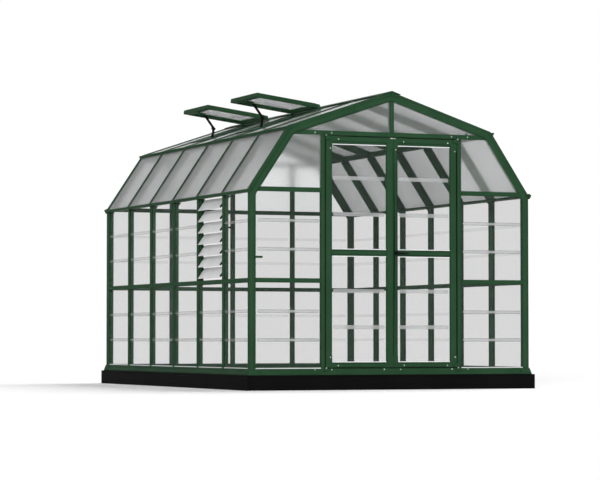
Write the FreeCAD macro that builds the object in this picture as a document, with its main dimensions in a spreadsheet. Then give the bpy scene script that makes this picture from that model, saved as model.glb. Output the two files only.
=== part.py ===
import FreeCAD, Part
import os
import re
import Sketcher

# A barn-roofed greenhouse: black plinth, green frame of posts, rails and rafters, clear wall panes,
# frosted roof panes, a double door in front, two roof vents and a louvre window on the left.
# X runs across the front, Y from the front to the back, Z up; the origin is the middle of the
# plinth's underside. Lengths are millimetres and angles degrees.

BAYS_WIDE = 4
BAYS_LONG = 6
VENT_BAYS = {"front_vent": 2, "rear_vent": 4}
LOUVRE_BAY = 1
LOUVRE_BLADES = 7

SIZES = {
    # plan grid: distance between post centres on every wall
    "bay_pitch": 635,
    # plinth
    "base_height": 125,
    "base_proud": 64,
    "base_thickness": 95,
    "base_wall": 12,
    "base_joint": 2,
    # sill with its flared skirt, and the shoe at each corner
    "sill_height": 55,
    "sill_flare": 20,
    "sill_lip": 10,
    "sill_face": 23,
    "sill_corner": 60,
    "shoe_proud": 3,
    # posts, rails and the strips that clamp the panes
    "member_width": 38,
    "member_depth": 50,
    "member_proud": 25,
    "strip_thickness": 12,
    "corner_width": 58,
    "corner_chamfer": 9,
    "pane_thickness": 6,
    "rib_height": 28,
    "rib_proud": 4,
    "rib_margin": 14,
    "rib_taper": 10,
    "mid_rail_z": 918,
    "eave_height": 1661,
    "capital_reach": 26,
    "capital_drop": 70,
    "capital_width": 30,
    # eave purlin and gutter
    "purlin_height": 20,
    "purlin_lift": 14,
    "gutter_room": 9,
    "gutter_depth": 22,
    "gutter_drop": 8,
    "gutter_floor": 10,
    "gutter_back": 9,
    "gutter_wall": 3,
    "gutter_end": 38,
    "gutter_cap_drop": 12,
    # roof outline and its layers, measured inwards from the outer surface
    "roof_lift": 11,
    "eave_overhang": 40,
    "knee_half_width": 945,
    "knee_rise": 546,
    "ridge_rise": 317,
    "gable_depth": 80,
    "header_below": 6,
    "rafter_depth": 62,
    "rafter_width": 40,
    "cap_thickness": 8,
    "cap_width": 18,
    "knee_leg": 30,
    "knee_clearance": 0.5,
    "knee_room": 4.5,
    "drip_thickness": 6,
    "ridge_half": 20,
    "ridge_drop": 10,
    "ridge_cap_half": 80,
    "ridge_cap_thickness": 4,
    # double door
    "leaf_gap": 8,
    "leaf_head_gap": 6,
    "leaf_foot_gap": 8,
    "leaf_setback": 5,
    "leaf_proud": 20,
    "meeting_offset": 14.5,
    "meeting_gap": 4,
    "hinge_stile": 55,
    "left_meeting_stile": 58,
    "right_meeting_stile": 37,
    "leaf_top_rail": 46,
    "leaf_mid_rail": 37,
    "leaf_bottom_rail": 35,
    "leaf_mid_z": 1156.5,
    "cover_leg": 100,
    "cover_thickness": 3,
    "hinge_inset": 3,
    "hinge_standoff": 11,
    "eye_radius": 9,
    "eye_height": 30,
    "eye_arm": 40,
    "pin_radius": 5,
    "lug_height": 20,
    "lug_reach": 25,
    "running_clearance": 0.05,
    "stop_height": 24,
    "stop_thickness": 8,
    "stop_half_width": 60,
    "stop_gap": 1,
    # lever handle
    "spindle_radius": 7,
    "rose_radius": 17,
    "rose_thickness": 6,
    "lever_length": 113,
    "lever_height": 18,
    "lever_thickness": 12,
    "lever_standoff": 25,
    # catch that holds the open left leaf
    "catch_z": 1110,
    "catch_height": 18,
    "catch_reach": 49,
    "catch_foot": 20,
    "catch_thickness": 16,
    "magnet_radius": 8,
    "magnet_thickness": 6,
    # roof vents, measured down the slope from the ridge and along the open vent from its hinge
    "vent_open_angle": 26.3,
    "hinge_from_ridge": 138,
    "hinge_clearance": 1,
    "vent_length": 604,
    "vent_lap": 12,
    "vent_depth": 38,
    "vent_under": 21,
    "vent_back": 12,
    "vent_pane_inset": 1,
    "vent_side_rail": 40,
    "vent_free_rail": 50,
    "vent_hinge_rail": 30,
    "rod_radius": 4,
    "bracket_half": 6,
    "bracket_back": 14,
    "bracket_gap": 1,
    "kerb_inset": 28,
    "kerb_width": 24,
    "kerb_top": 2,
    "hinge_kerb_half": 16,
    # folding stay of a vent; its elbow lies at a share of the way down and bows towards the ridge
    "stay_setback": 91,
    "stay_hang": 32,
    "stay_foot_setback": 89,
    "stay_foot_below": 55,
    "elbow_share": 0.555,
    "elbow_bow": 58.5,
    "arm_half": 8,
    "arm_thickness": 5,
    "arm_gap": 1,
    "arm_pin_radius": 3,
    "ear_half": 12,
    "ear_lap": 16,
    "ear_thickness": 3,
    "ear_gap": 0.5,
    "elbow_radius": 15,
    "cross_bar_width": 24,
    "cross_bar_depth": 30,
    # louvre window
    "louvre_tilt": 35,
    "louvre_foot_gap": 6,
    "louvre_head_gap": 2,
    "blade_lap": 17,
    "blade_thickness": 5,
    "jamb_thickness": 14,
    "clip_start": 5,
    "clip_thickness": 5,
    "clip_inset": 9,
    "clip_depth": 14,
    "clip_jaw": 30,
    "blade_start": 15,
    "stub_radius": 4,
    "stub_in_jamb": 10,
    "link_inset": 5,
    "link_pin_radius": 3,
    "link_half": 5,
    "link_gap": 0.5,
    "link_thickness": 4,
    "link_tail": 10,
    "grip_length": 45,
    "grip_height": 16,
    # screw heads
    "screw_radius": 5,
    "screw_height": 2.5,
}

# Places worked out from the sizes above.
LAYOUT = {
    "half_width": f"{BAYS_WIDE}/2*bay_pitch",
    "half_length": f"{BAYS_LONG}/2*bay_pitch",
    "member_half": "member_width/2",
    "wall_in": "member_depth-member_proud",
    "corner_half": "max(corner_width/2; wall_in)",
    "pane_out": "member_proud-strip_thickness",
    "pane_in": "pane_out-pane_thickness",
    "wall_z": "base_height+sill_height",
    "purlin_top": "eave_height+purlin_lift",
    "purlin_z": "purlin_top-purlin_height",
    "eave_top": "eave_height+member_width",
    "gutter_in": "half_width+corner_half",
    "gutter_width": "eave_overhang-corner_half+gutter_room",
    "gutter_z": "eave_height-gutter_drop",
    "gutter_top": "gutter_z+gutter_depth",
    "eave_x": "half_width+eave_overhang",
    "eave_z": "eave_height+roof_lift",
    "knee_x": "knee_half_width",
    "knee_z": "eave_z+knee_rise",
    "ridge_z": "knee_z+ridge_rise",
    "lower_len": "sqrt(pow(eave_x-knee_x; 2)+pow(knee_rise; 2))",
    "lower_sin": "knee_rise/lower_len",
    "lower_cos": "(eave_x-knee_x)/lower_len",
    "upper_len": "sqrt(pow(knee_x; 2)+pow(ridge_rise; 2))",
    "upper_sin": "ridge_rise/upper_len",
    "upper_cos": "knee_x/upper_len",
    "mitre": "1+lower_sin*upper_sin+lower_cos*upper_cos",
    "mitre_x": "(lower_sin+upper_sin)/mitre",
    "mitre_z": "(lower_cos+upper_cos)/mitre",
    "header_z": "knee_z-gable_depth*mitre_z-header_below",
    "header_top": "header_z+member_width",
    "pane_under": "-cap_thickness-pane_thickness",
    "knee_sin": "lower_sin*upper_cos-lower_cos*upper_sin",
    "knee_cos": "lower_sin*upper_sin+lower_cos*upper_cos",
    "knee_lap": "(knee_clearance-pane_under*knee_cos)/knee_sin",
    "knee_cap_gap": "(knee_room-pane_under)/knee_sin",
    "knee_pane_gap": "(knee_room-pane_under-cap_thickness*knee_cos)/knee_sin",
    "leaf_out": "bay_pitch-member_half-leaf_gap",
    "leaf_in": "leaf_setback-wall_in",
    "leaf_z": "wall_z+leaf_foot_gap",
    "leaf_top": "header_z-leaf_head_gap",
    "left_edge": "meeting_offset-meeting_gap/2",
    "right_edge": "meeting_offset+meeting_gap/2",
    "hinge_x": "bay_pitch-member_half-hinge_inset",
    "hinge_out": "member_proud+hinge_standoff",
    "spindle_x": "right_edge+right_meeting_stile/2",
    "hinge_above": "sqrt(pow(vent_back; 2)+pow(vent_under; 2))+hinge_clearance",
    "kerb_from_ridge": "hinge_from_ridge+vent_length-kerb_inset",
    "stay_foot_from_ridge": "kerb_from_ridge-stay_foot_setback",
    "stay_reach": "vent_length-stay_setback",
    "vent_pane_top": "vent_depth-vent_under-vent_pane_inset",
    "vent_tilt": "vent_open_angle-asin(upper_sin)/1deg",
    "tilt_cos": "cos(vent_tilt*1deg)",
    "tilt_sin": "sin(vent_tilt*1deg)",
    "vent_x": "knee_x-(upper_len-hinge_from_ridge)*upper_cos+hinge_above*upper_sin",
    "vent_z": "knee_z+(upper_len-hinge_from_ridge)*upper_sin+hinge_above*upper_cos",
    "top_x": "vent_x+stay_reach*tilt_cos+stay_hang*tilt_sin",
    "top_z": "vent_z+stay_reach*tilt_sin-stay_hang*tilt_cos",
    "foot_x": "knee_x-(upper_len-stay_foot_from_ridge)*upper_cos-stay_foot_below*upper_sin",
    "foot_z": "knee_z+(upper_len-stay_foot_from_ridge)*upper_sin-stay_foot_below*upper_cos",
    "stay_span": "sqrt(pow(foot_x-top_x; 2)+pow(foot_z-top_z; 2))",
    "stay_near": "stay_span*elbow_share",
    "upper_arm_length": "sqrt(pow(stay_near; 2)+pow(elbow_bow; 2))",
    "lower_arm_length": "sqrt(pow(stay_span-stay_near; 2)+pow(elbow_bow; 2))",
    "stay_run": "(foot_x-top_x)/stay_span",
    "stay_fall": "(foot_z-top_z)/stay_span",
    "elbow_x": "top_x+stay_near*stay_run+elbow_bow*stay_fall",
    "elbow_z": "top_z+stay_near*stay_fall-elbow_bow*stay_run",
    "blade_sin": "sin(louvre_tilt*1deg)",
    "blade_cos": "cos(louvre_tilt*1deg)",
    "louvre_foot": "mid_rail_z+member_half+louvre_foot_gap",
    "louvre_pitch": f"(purlin_z-louvre_head_gap-louvre_foot-blade_lap)/{LOUVRE_BLADES}",
    "blade_height": "louvre_pitch+blade_lap",
    "louvre_z": "louvre_foot+blade_height/2",
    "clip_half": "blade_height/2-clip_inset",
    "link_offset": "clip_half-link_inset",
    "jamb_front": f"{LOUVRE_BAY}*bay_pitch-half_length+member_half+jamb_thickness",
    "jamb_rear": f"{LOUVRE_BAY + 1}*bay_pitch-half_length-member_half-jamb_thickness",
}

AXES = {"x": FreeCAD.Vector(1, 0, 0), "y": FreeCAD.Vector(0, 1, 0), "z": FreeCAD.Vector(0, 0, 1)}
OUTLINE_TURNS = {
    "x": FreeCAD.Rotation(FreeCAD.Vector(1, 1, 1), 120),
    "y": FreeCAD.Rotation(AXES["x"], 90),
    "z": FreeCAD.Rotation(),
}
ROD_TURNS = {
    "x": FreeCAD.Rotation(AXES["y"], 90),
    "y": FreeCAD.Rotation(AXES["x"], -90),
    "z": FreeCAD.Rotation(),
}
WORD = re.compile(r"[a-z_]+")

document = FreeCAD.newDocument("greenhouse")
sheet = document.addObject("Spreadsheet::Sheet", "sizes")
for row, (alias, size) in enumerate(SIZES.items(), start=1):
    sheet.set(f"A{row}", alias)
    sheet.set(f"B{row}", str(size))
    sheet.setAlias(f"B{row}", alias)
document.recompute()


def bound(text):
    """Point every name in an expression at the sheet or at the worked-out layout."""

    def owner(match):
        word = match.group(0)
        if word in SIZES:
            return f"sizes.{word}"
        if word in LAYOUT:
            return f"layout.{word}"
        return word

    return WORD.sub(owner, str(text))


layout = document.addObject("App::FeaturePython", "layout")
for place, text in LAYOUT.items():
    layout.addProperty("App::PropertyFloat", place)
    layout.setExpression(place, bound(text))
document.recompute()

nodes = []


def number(text):
    return float(layout.evalExpression(bound(text)))


def box(name, spans):
    """A block between expression pairs for X, Y and Z."""
    piece = document.addObject("Part::Box", name)
    for side, axis, (low, high) in zip(("Length", "Width", "Height"), "xyz", spans):
        piece.setExpression(side, bound(f"({high})-({low})"))
        piece.setExpression(f"Placement.Base.{axis}", bound(low))
    return piece


def wall_box(name, wall, along, out, rise):
    """A block on a wall: along it, outwards from its post centres, and upwards."""
    grid = "half_width" if wall in ("left", "right") else "half_length"
    across = (f"{grid}+({out[0]})", f"{grid}+({out[1]})")
    if wall in ("left", "front"):
        across = (f"-{grid}-({out[1]})", f"-{grid}-({out[0]})")
    plan = (across, along) if wall in ("left", "right") else (along, across)
    return box(name, (*plan, rise))


def outline(name, corners, axis):
    """A closed sketch square to an axis, with every corner tied to its two expressions."""
    sketch = document.addObject("Sketcher::SketchObject", name)
    sketch.Placement = FreeCAD.Placement(FreeCAD.Vector(), OUTLINE_TURNS[axis])
    points = [FreeCAD.Vector(number(first), number(second), 0) for first, second in corners]
    count = len(points)
    sketch.addGeometry([Part.LineSegment(points[i], points[(i + 1) % count]) for i in range(count)])
    sketch.addConstraint([Sketcher.Constraint("Coincident", i, 2, (i + 1) % count, 1) for i in range(count)])
    for i, (first, second) in enumerate(corners):
        for kind, text, value in (("DistanceX", first, points[i].x), ("DistanceY", second, points[i].y)):
            index = sketch.addConstraint(Sketcher.Constraint(kind, -1, 1, i, 1, value))
            sketch.setExpression(f"Constraints[{index}]", bound(text))
    return sketch


def extrude(name, sketch, axis, start, end):
    piece = document.addObject("Part::Extrusion", name)
    piece.Base = sketch
    piece.DirMode = "Custom"
    piece.Dir = AXES[axis]
    piece.Solid = True
    piece.setExpression("LengthFwd", bound(f"({end})-({start})"))
    piece.setExpression(f"Placement.Base.{axis}", bound(start))
    return piece


def bar(name, corners, axis, start, end):
    return extrude(name, outline(f"{name}_outline", corners, axis), axis, start, end)


def rod(name, axis, centre, radius, start, end):
    """A round bar along an axis; centre gives the other two places in X, Y, Z order."""
    piece = document.addObject("Part::Cylinder", name)
    piece.Placement = FreeCAD.Placement(FreeCAD.Vector(), ROD_TURNS[axis])
    piece.setExpression("Radius", bound(radius))
    piece.setExpression("Height", bound(f"({end})-({start})"))
    piece.setExpression(f"Placement.Base.{axis}", bound(start))
    for other, text in zip([letter for letter in "xyz" if letter != axis], centre):
        piece.setExpression(f"Placement.Base.{other}", bound(text))
    return piece


def join(name, pieces):
    piece = document.addObject("Part::MultiFuse", name)
    piece.Shapes = pieces
    return piece


def cut(name, body, tools):
    piece = document.addObject("Part::Cut", name)
    piece.Base = body
    piece.Tool = tools[0] if len(tools) == 1 else join(f"{name}_tools", tools)
    return piece


def mirror(piece, axis):
    copy = document.addObject("Part::Mirroring", f"{piece.Name}_mirror")
    copy.Source = piece
    copy.Normal = AXES[axis]
    return copy


def both(pieces, axis):
    return pieces + [mirror(piece, axis) for piece in pieces]


def node(label, pieces):
    """One named sub-part made of the given separate pieces."""
    group = document.addObject("Part::Compound", f"{label}_node")
    group.Links = pieces
    group.Label = label
    nodes.append(group)


def bay_line(half, index):
    """The place of a post centre, counted from the low end of a wall."""
    return f"({index}*bay_pitch-{half})"


def lower_at(along, out):
    """A point on the right lower roof slope, up from the eave and out from its surface."""
    return (f"eave_x-({along})*lower_cos+({out})*lower_sin", f"eave_z+({along})*lower_sin+({out})*lower_cos")


def upper_at(along, out):
    """A point on the right upper roof slope, up from the knee and out from its surface."""
    return (f"knee_x-({along})*upper_cos+({out})*upper_sin", f"knee_z+({along})*upper_sin+({out})*upper_cos")


def lower_x(out, height):
    return f"eave_x+(({out})-({height}-eave_z)*lower_cos)/lower_sin"


def lower_z(out, across):
    return f"eave_z+(({out})-({across}-eave_x)*lower_sin)/lower_cos"


def upper_x(out, height):
    return f"knee_x+(({out})-({height}-knee_z)*upper_cos)/upper_sin"


def upper_z(out, across):
    return f"knee_z+(({out})-(({across})-knee_x)*upper_sin)/upper_cos"


def knee_at(out):
    return (f"knee_x+({out})*mitre_x", f"knee_z+({out})*mitre_z")


def from_ridge(down, out):
    """A point on the right upper slope, down from the ridge and out from its surface."""
    return upper_at(f"upper_len-({down})", out)


def slab(point, along, out):
    """The four corners of a straight layer on a slope."""
    (low, high), (under, over) = along, out
    return [point(low, under), point(high, under), point(high, over), point(low, over)]


# Plinth: hollow black lengths, two across each end and three along each side.
def plinth_length(wall, low, high):
    across = ("base_proud-base_thickness", "base_proud")
    outer = wall_box("plinth", wall, (low, high), across, ("0", "base_height"))
    hollow = wall_box(
        "plinth_hollow",
        wall,
        (f"{low}+base_wall", f"{high}-base_wall"),
        (f"{across[0]}+base_wall", f"{across[1]}-base_wall"),
        ("-base_wall", "base_height-base_wall"),
    )
    return cut("plinth_length", outer, [hollow])


def plinth_run(wall, half, count):
    lengths = []
    for i in range(count):
        low = f"{2 * i - count}/{count}*({half})" + ("+base_joint/2" if i else "")
        high = f"{2 * i + 2 - count}/{count}*({half})" + ("-base_joint/2" if i < count - 1 else "")
        lengths.append(plinth_length(wall, low, high))
    return lengths


plinth = []
for end_wall in ("front", "back"):
    plinth += plinth_run(end_wall, "half_width+base_proud", 2)
for side_wall in ("left", "right"):
    plinth += plinth_run(side_wall, "half_length+base_proud-base_thickness", 3)
node("base_rails", plinth)

# Sill: a rail with a flared skirt on each side, running between the corner shoes.
SILL_PROFILE = [
    ("-wall_in", "0"),
    ("member_proud+sill_flare", "0"),
    ("member_proud+sill_flare", "sill_lip"),
    ("member_proud", "sill_height-sill_face"),
    ("member_proud", "sill_height"),
    ("-wall_in", "sill_height"),
]
sill_side = [(f"half_width+{out}", f"base_height+{rise}") for out, rise in SILL_PROFILE]
sill_end = [(f"half_length+{out}", f"base_height+{rise}") for out, rise in SILL_PROFILE]
right_sill = bar("sill_side", sill_side, "y", "sill_corner-half_length", "half_length-sill_corner")
back_sill = bar("sill_end", sill_end, "x", "sill_corner-half_width", "half_width-sill_corner")
node("sill_rails", both([right_sill], "x") + both([back_sill], "y"))

shoe = document.addObject("Part::Wedge", "corner_shoe")
shoe.Placement = FreeCAD.Placement(FreeCAD.Vector(), OUTLINE_TURNS["y"])
SHOE_FACES = {
    "Xmin": "-sill_corner",
    "Xmax": "member_proud+sill_flare+shoe_proud",
    "X2min": "-sill_corner",
    "X2max": "corner_half+shoe_proud",
    "Ymin": "0",
    "Ymax": "sill_height",
    "Zmin": "-member_proud-sill_flare-shoe_proud",
    "Zmax": "sill_corner",
    "Z2min": "-corner_half-shoe_proud",
    "Z2max": "sill_corner",
}
for face, text in SHOE_FACES.items():
    shoe.setExpression(face, bound(text))
for axis, text in zip("xyz", ("half_width", "half_length", "base_height")):
    shoe.setExpression(f"Placement.Base.{axis}", bound(text))
node("sill_corners", both(both([shoe], "x"), "y"))

# Corner posts: square with broken edges, from the shoes up to the gable rafters' feet.
corner_outline = []
for x_sign, y_sign, turned in ((1, -1, 0), (1, 1, 1), (-1, 1, 0), (-1, -1, 1)):
    long_x = f"half_width+{x_sign}*corner_half"
    long_y = f"half_length+{y_sign}*corner_half"
    short_x = f"half_width+{x_sign}*(corner_half-corner_chamfer)"
    short_y = f"half_length+{y_sign}*(corner_half-corner_chamfer)"
    pair = [(short_x, long_y), (long_x, short_y)]
    corner_outline += pair[::-1] if turned else pair
corner_post = bar("corner_post", corner_outline, "z", "wall_z", "eave_height")
node("corner_posts", both(both([corner_post], "x"), "y"))

# Posts: the door posts are full depth, the others stand behind the panes with a strip in front.
FULL_DEPTH = ("-wall_in", "member_proud")
BEHIND_PANES = ("-wall_in", "pane_in")
OVER_PANES = ("pane_out", "member_proud")
IN_PANES = ("pane_in", "pane_out")
door_post_along = ("bay_pitch-member_half", "bay_pitch+member_half")
door_post = wall_box("door_post", "front", door_post_along, FULL_DEPTH, ("wall_z", "header_z"))
node("door_posts", both([door_post], "x"))


def centred(place):
    return (f"{place}-member_half", f"{place}+member_half")


side_posts, side_strips = [], []
for k in range(1, BAYS_LONG):
    along = centred(bay_line("half_length", k))
    side_posts.append(wall_box("side_post", "right", along, BEHIND_PANES, ("wall_z", "purlin_z")))
    side_strips.append(wall_box("side_strip", "right", along, OVER_PANES, ("wall_z", "purlin_z")))
capital_outline = [
    ("half_width-wall_in", "purlin_z"),
    ("half_width-wall_in-capital_reach", "purlin_z"),
    ("half_width-wall_in", "purlin_z-capital_drop"),
]
capital_sketch = outline("capital_outline", capital_outline, "y")
capitals = []
for k in range(1, BAYS_LONG):
    line = bay_line("half_length", k)
    along = (f"{line}-capital_width/2", f"{line}+capital_width/2")
    capitals.append(extrude("capital", capital_sketch, "y", *along))
back_posts, back_strips = [], []
for k in range(1, BAYS_WIDE):
    along = centred(bay_line("half_width", k))
    back_posts.append(wall_box("back_post", "back", along, BEHIND_PANES, ("wall_z", "header_z")))
    back_strips.append(wall_box("back_strip", "back", along, OVER_PANES, ("wall_z", "header_z")))
node("wall_posts", both(side_posts, "x") + back_posts)
node("post_capitals", both(capitals, "x"))


# Mid rails: one between each pair of posts, behind the panes, with its own strip in front.
def bay_span(half, count, k, inner_half):
    """A bay between members: corner posts at the ends of a wall, thinner members elsewhere."""
    low = bay_line(half, k) + ("+corner_half" if k == 0 else f"+{inner_half}")
    high = bay_line(half, k + 1) + ("-corner_half" if k == count - 1 else f"-{inner_half}")
    return (low, high)


MID_RISE = ("mid_rail_z-member_half", "mid_rail_z+member_half")
side_rails, side_rail_strips, back_rails, back_rail_strips = [], [], [], []
for k in range(BAYS_LONG):
    along = bay_span("half_length", BAYS_LONG, k, "member_half")
    side_rails.append(wall_box("side_rail", "right", along, BEHIND_PANES, MID_RISE))
    side_rail_strips.append(wall_box("side_rail_strip", "right", along, OVER_PANES, MID_RISE))
for k in range(BAYS_WIDE):
    along = bay_span("half_width", BAYS_WIDE, k, "member_half")
    back_rails.append(wall_box("back_rail", "back", along, BEHIND_PANES, MID_RISE))
    back_rail_strips.append(wall_box("back_rail_strip", "back", along, OVER_PANES, MID_RISE))
front_along = ("bay_pitch+member_half", "half_width-corner_half")
front_rail = wall_box("front_rail", "front", front_along, BEHIND_PANES, MID_RISE)
front_rail_strip = wall_box("front_rail_strip", "front", front_along, OVER_PANES, MID_RISE)
node("mid_rails", both(side_rails + [front_rail], "x") + back_rails)
strips = both(side_strips + side_rail_strips + [front_rail_strip], "x")
node("wall_cover_strips", strips + back_strips + back_rail_strips)

# Eave rails of the end walls: their outer ends lie along the gable rafters.
FRONT_DEEP = ("-half_length-member_proud", "wall_in-half_length")
BACK_DEEP = ("half_length-wall_in", "half_length+member_proud")
END_FRAMES = (FRONT_DEEP, BACK_DEEP)
eave_outline = [
    ("bay_pitch+member_half", "eave_height"),
    (lower_x("-gable_depth", "eave_height"), "eave_height"),
    (lower_x("-gable_depth", "eave_top"), "eave_top"),
    ("bay_pitch+member_half", "eave_top"),
]
eave_sketch = outline("eave_rail_outline", eave_outline, "y")
outer_eaves = [extrude("eave_rail", eave_sketch, "y", *depth) for depth in END_FRAMES]
inner_along = bay_span("half_width", BAYS_WIDE, BAYS_WIDE // 2, "member_half")
inner_eave = wall_box("inner_eave_rail", "back", inner_along, FULL_DEPTH, ("eave_height", "eave_top"))
node("eave_rails", both(outer_eaves + [inner_eave], "x"))

# Eave purlins on the side walls, bevelled to carry the roof panes. A gutter hangs outside each, closed
# at both ends by a plate that reaches from below its floor up to the roof's outer surface.
purlin_outline = [
    ("half_width-wall_in", "purlin_z"),
    ("gutter_in", "purlin_z"),
    ("gutter_in", lower_z("pane_under", "gutter_in")),
    (lower_x("pane_under", "purlin_top"), "purlin_top"),
    ("half_width-wall_in", "purlin_top"),
]
purlin = bar("eave_purlin", purlin_outline, "y", "corner_half-half_length", "half_length-corner_half")
node("eave_purlins", both([purlin], "x"))

gutter_outline = [
    ("gutter_in", "gutter_z"),
    ("gutter_in+gutter_floor", "gutter_z"),
    ("gutter_in+gutter_width", "gutter_top"),
    ("gutter_in+gutter_width-gutter_wall", "gutter_top"),
    ("gutter_in+gutter_floor-gutter_wall", "gutter_z+gutter_wall"),
    ("gutter_in+gutter_wall", "gutter_z+gutter_wall"),
    ("gutter_in+gutter_wall", "gutter_z+gutter_back"),
    ("gutter_in", "gutter_z+gutter_back"),
]
GUTTER_END = "half_length+gutter_end"
gutter = bar("gutter", gutter_outline, "y", f"-({GUTTER_END})", GUTTER_END)
gutter_cap_outline = [
    ("gutter_in", "gutter_z-gutter_cap_drop"),
    ("gutter_in+gutter_floor", "gutter_z"),
    ("gutter_in+gutter_width", "gutter_top"),
    ("gutter_in", lower_z("0", "gutter_in")),
]
gutter_cap = bar("gutter_cap", gutter_cap_outline, "y", GUTTER_END, f"{GUTTER_END}+gutter_wall")
node("eave_gutters", both([gutter], "x") + both(both([gutter_cap], "x"), "y"))

# End frames: header under the knees, centre post above it, and mitred gable rafters.
header_outline = [
    (lower_x("-gable_depth", "header_z"), "header_z"),
    knee_at("-gable_depth"),
    (upper_x("-gable_depth", "header_top"), "header_top"),
]
header_outline += [(f"-({x})", z) for x, z in reversed(header_outline)]
header_sketch = outline("header_outline", header_outline, "y")
node("knee_headers", [extrude("header", header_sketch, "y", *depth) for depth in END_FRAMES])

gable_post_outline = [
    ("-member_half", "header_top"),
    ("member_half", "header_top"),
    ("member_half", upper_z("-gable_depth", "member_half")),
    ("0", upper_z("-gable_depth", "0")),
    ("-member_half", upper_z("-gable_depth", "member_half")),
]
gable_post_sketch = outline("gable_post_outline", gable_post_outline, "y")
node("gable_posts", [extrude("gable_post", gable_post_sketch, "y", *depth) for depth in END_FRAMES])

lower_gable_outline = [
    (lower_x("-gable_depth", "eave_height"), "eave_height"),
    ("gutter_in", "eave_height"),
    ("gutter_in", "gutter_top"),
    (lower_x("0", "gutter_top"), "gutter_top"),
    knee_at("0"),
    knee_at("-gable_depth"),
]
upper_gable_outline = [
    knee_at("0"),
    ("0", "ridge_z"),
    ("0", upper_z("-gable_depth", "0")),
    knee_at("-gable_depth"),
]
gable_rafters = []
for corners in (lower_gable_outline, upper_gable_outline):
    sketch = outline("gable_rafter_outline", corners, "y")
    gable_rafters += [extrude("gable_rafter", sketch, "y", *depth) for depth in END_FRAMES]
node("gable_rafters", both(gable_rafters, "x"))

# Roof rafters on every post line, in two lengths, with thin caps that clamp the panes from outside.
rafter_foot = [(lower_x(out, "purlin_top"), "purlin_top") for out in ("-rafter_depth", "pane_under")]
lower_end = [lower_at("lower_len-knee_leg", out) for out in ("pane_under", "-rafter_depth")]
upper_start = [upper_at("knee_leg", out) for out in ("pane_under", "-rafter_depth")]
ridge_side = [("ridge_half", upper_z(out, "ridge_half")) for out in ("-rafter_depth", "pane_under")]
lower_cap = slab(lower_at, ("0", "lower_len-knee_cap_gap"), ("-cap_thickness", "0"))
upper_cap = [upper_at("-knee_lap", out) for out in ("-cap_thickness", "0")]
upper_cap += [("0", upper_z(out, "0")) for out in ("0", "-cap_thickness")]
rafters, caps = [], []
for pieces, label, corners, width in (
    (rafters, "lower_rafter", rafter_foot + lower_end, "rafter_width"),
    (rafters, "upper_rafter", upper_start + ridge_side, "rafter_width"),
    (caps, "lower_cap", lower_cap, "cap_width"),
    (caps, "upper_cap", upper_cap, "cap_width"),
):
    sketch = outline(f"{label}_outline", corners, "y")
    for k in range(1, BAYS_LONG):
        line = bay_line("half_length", k)
        pieces.append(extrude(label, sketch, "y", f"{line}-{width}/2", f"{line}+{width}/2"))
node("roof_rafters", both(rafters, "x"))
node("rafter_caps", both(caps, "x"))

# Knee purlins and ridge beam between the gable rafters, drip trims and ridge cap over their full length.
BETWEEN_GABLES = ("wall_in-half_length", "half_length-wall_in")
OVER_GABLES = ("-half_length-member_proud", "half_length+member_proud")
knee_outline = [
    lower_at("lower_len-knee_leg", "pane_under"),
    knee_at("pane_under"),
    upper_at("knee_leg", "pane_under"),
    upper_at("knee_leg", "-rafter_depth"),
    knee_at("-rafter_depth"),
    lower_at("lower_len-knee_leg", "-rafter_depth"),
]
node("knee_purlins", both([bar("knee_purlin", knee_outline, "y", *BETWEEN_GABLES)], "x"))

drip_outline = slab(upper_at, ("-knee_lap-drip_thickness", "-knee_lap"), ("pane_under", "0"))
node("knee_trims", both([bar("knee_trim", drip_outline, "y", *OVER_GABLES)], "x"))

ridge_foot = f"{upper_z('-rafter_depth', 'ridge_half')}-ridge_drop"
ridge_outline = [
    ("ridge_half", upper_z("pane_under", "ridge_half")),
    ("0", upper_z("pane_under", "0")),
    ("-ridge_half", upper_z("pane_under", "ridge_half")),
    ("-ridge_half", ridge_foot),
    ("ridge_half", ridge_foot),
]
node("ridge_beam", [bar("ridge", ridge_outline, "y", *BETWEEN_GABLES)])

ridge_cap_outline = [
    ("-ridge_cap_half", upper_z("0", "ridge_cap_half")),
    ("0", upper_z("0", "0")),
    ("ridge_cap_half", upper_z("0", "ridge_cap_half")),
    ("ridge_cap_half", upper_z("ridge_cap_thickness", "ridge_cap_half")),
    ("0", upper_z("ridge_cap_thickness", "0")),
    ("-ridge_cap_half", upper_z("ridge_cap_thickness", "ridge_cap_half")),
]
node("ridge_cap", [bar("ridge_capping", ridge_cap_outline, "y", *OVER_GABLES)])


# Wall panes: a clear sheet with two pressed ribs a third of the way up and down its open part.
def ribs(wall, sight, glazed, out):
    """Raised ribs with tapered ends on the face of a pane."""
    found = []
    along_axis = "y" if wall in ("left", "right") else "x"
    for third in (1, 2):
        middle = f"({glazed[0]})+(({glazed[1]})-({glazed[0]}))*{third}/3"
        ends = (f"{sight[0]}+rib_margin", f"{sight[1]}-rib_margin")
        crown = (f"{ends[0]}+rib_taper", f"{ends[1]}-rib_taper")
        lower, upper = f"{middle}-rib_height/2", f"{middle}+rib_height/2"
        corners = [
            (crown[0], lower),
            (crown[1], lower),
            (ends[1], middle),
            (crown[1], upper),
            (crown[0], upper),
            (ends[0], middle),
        ]
        normal = "x" if along_axis == "y" else "y"
        found.append(bar("rib", corners, normal, *out))
    return found


def face_span(wall, inner, outer):
    """Where a layer of a wall lies across it, low end first."""
    half = "half_width" if wall in ("left", "right") else "half_length"
    if wall in ("left", "front"):
        return (f"-{half}-({outer})", f"-{half}-({inner})")
    return (f"{half}+({inner})", f"{half}+({outer})")


def ribbed_pane(wall, plate, sight, rise, glazed):
    flat = wall_box("pane", wall, plate, IN_PANES, rise)
    raised = face_span(wall, "pane_out", "pane_out+rib_proud")
    return join("ribbed_pane", [flat] + ribs(wall, sight, glazed, raised))


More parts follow.
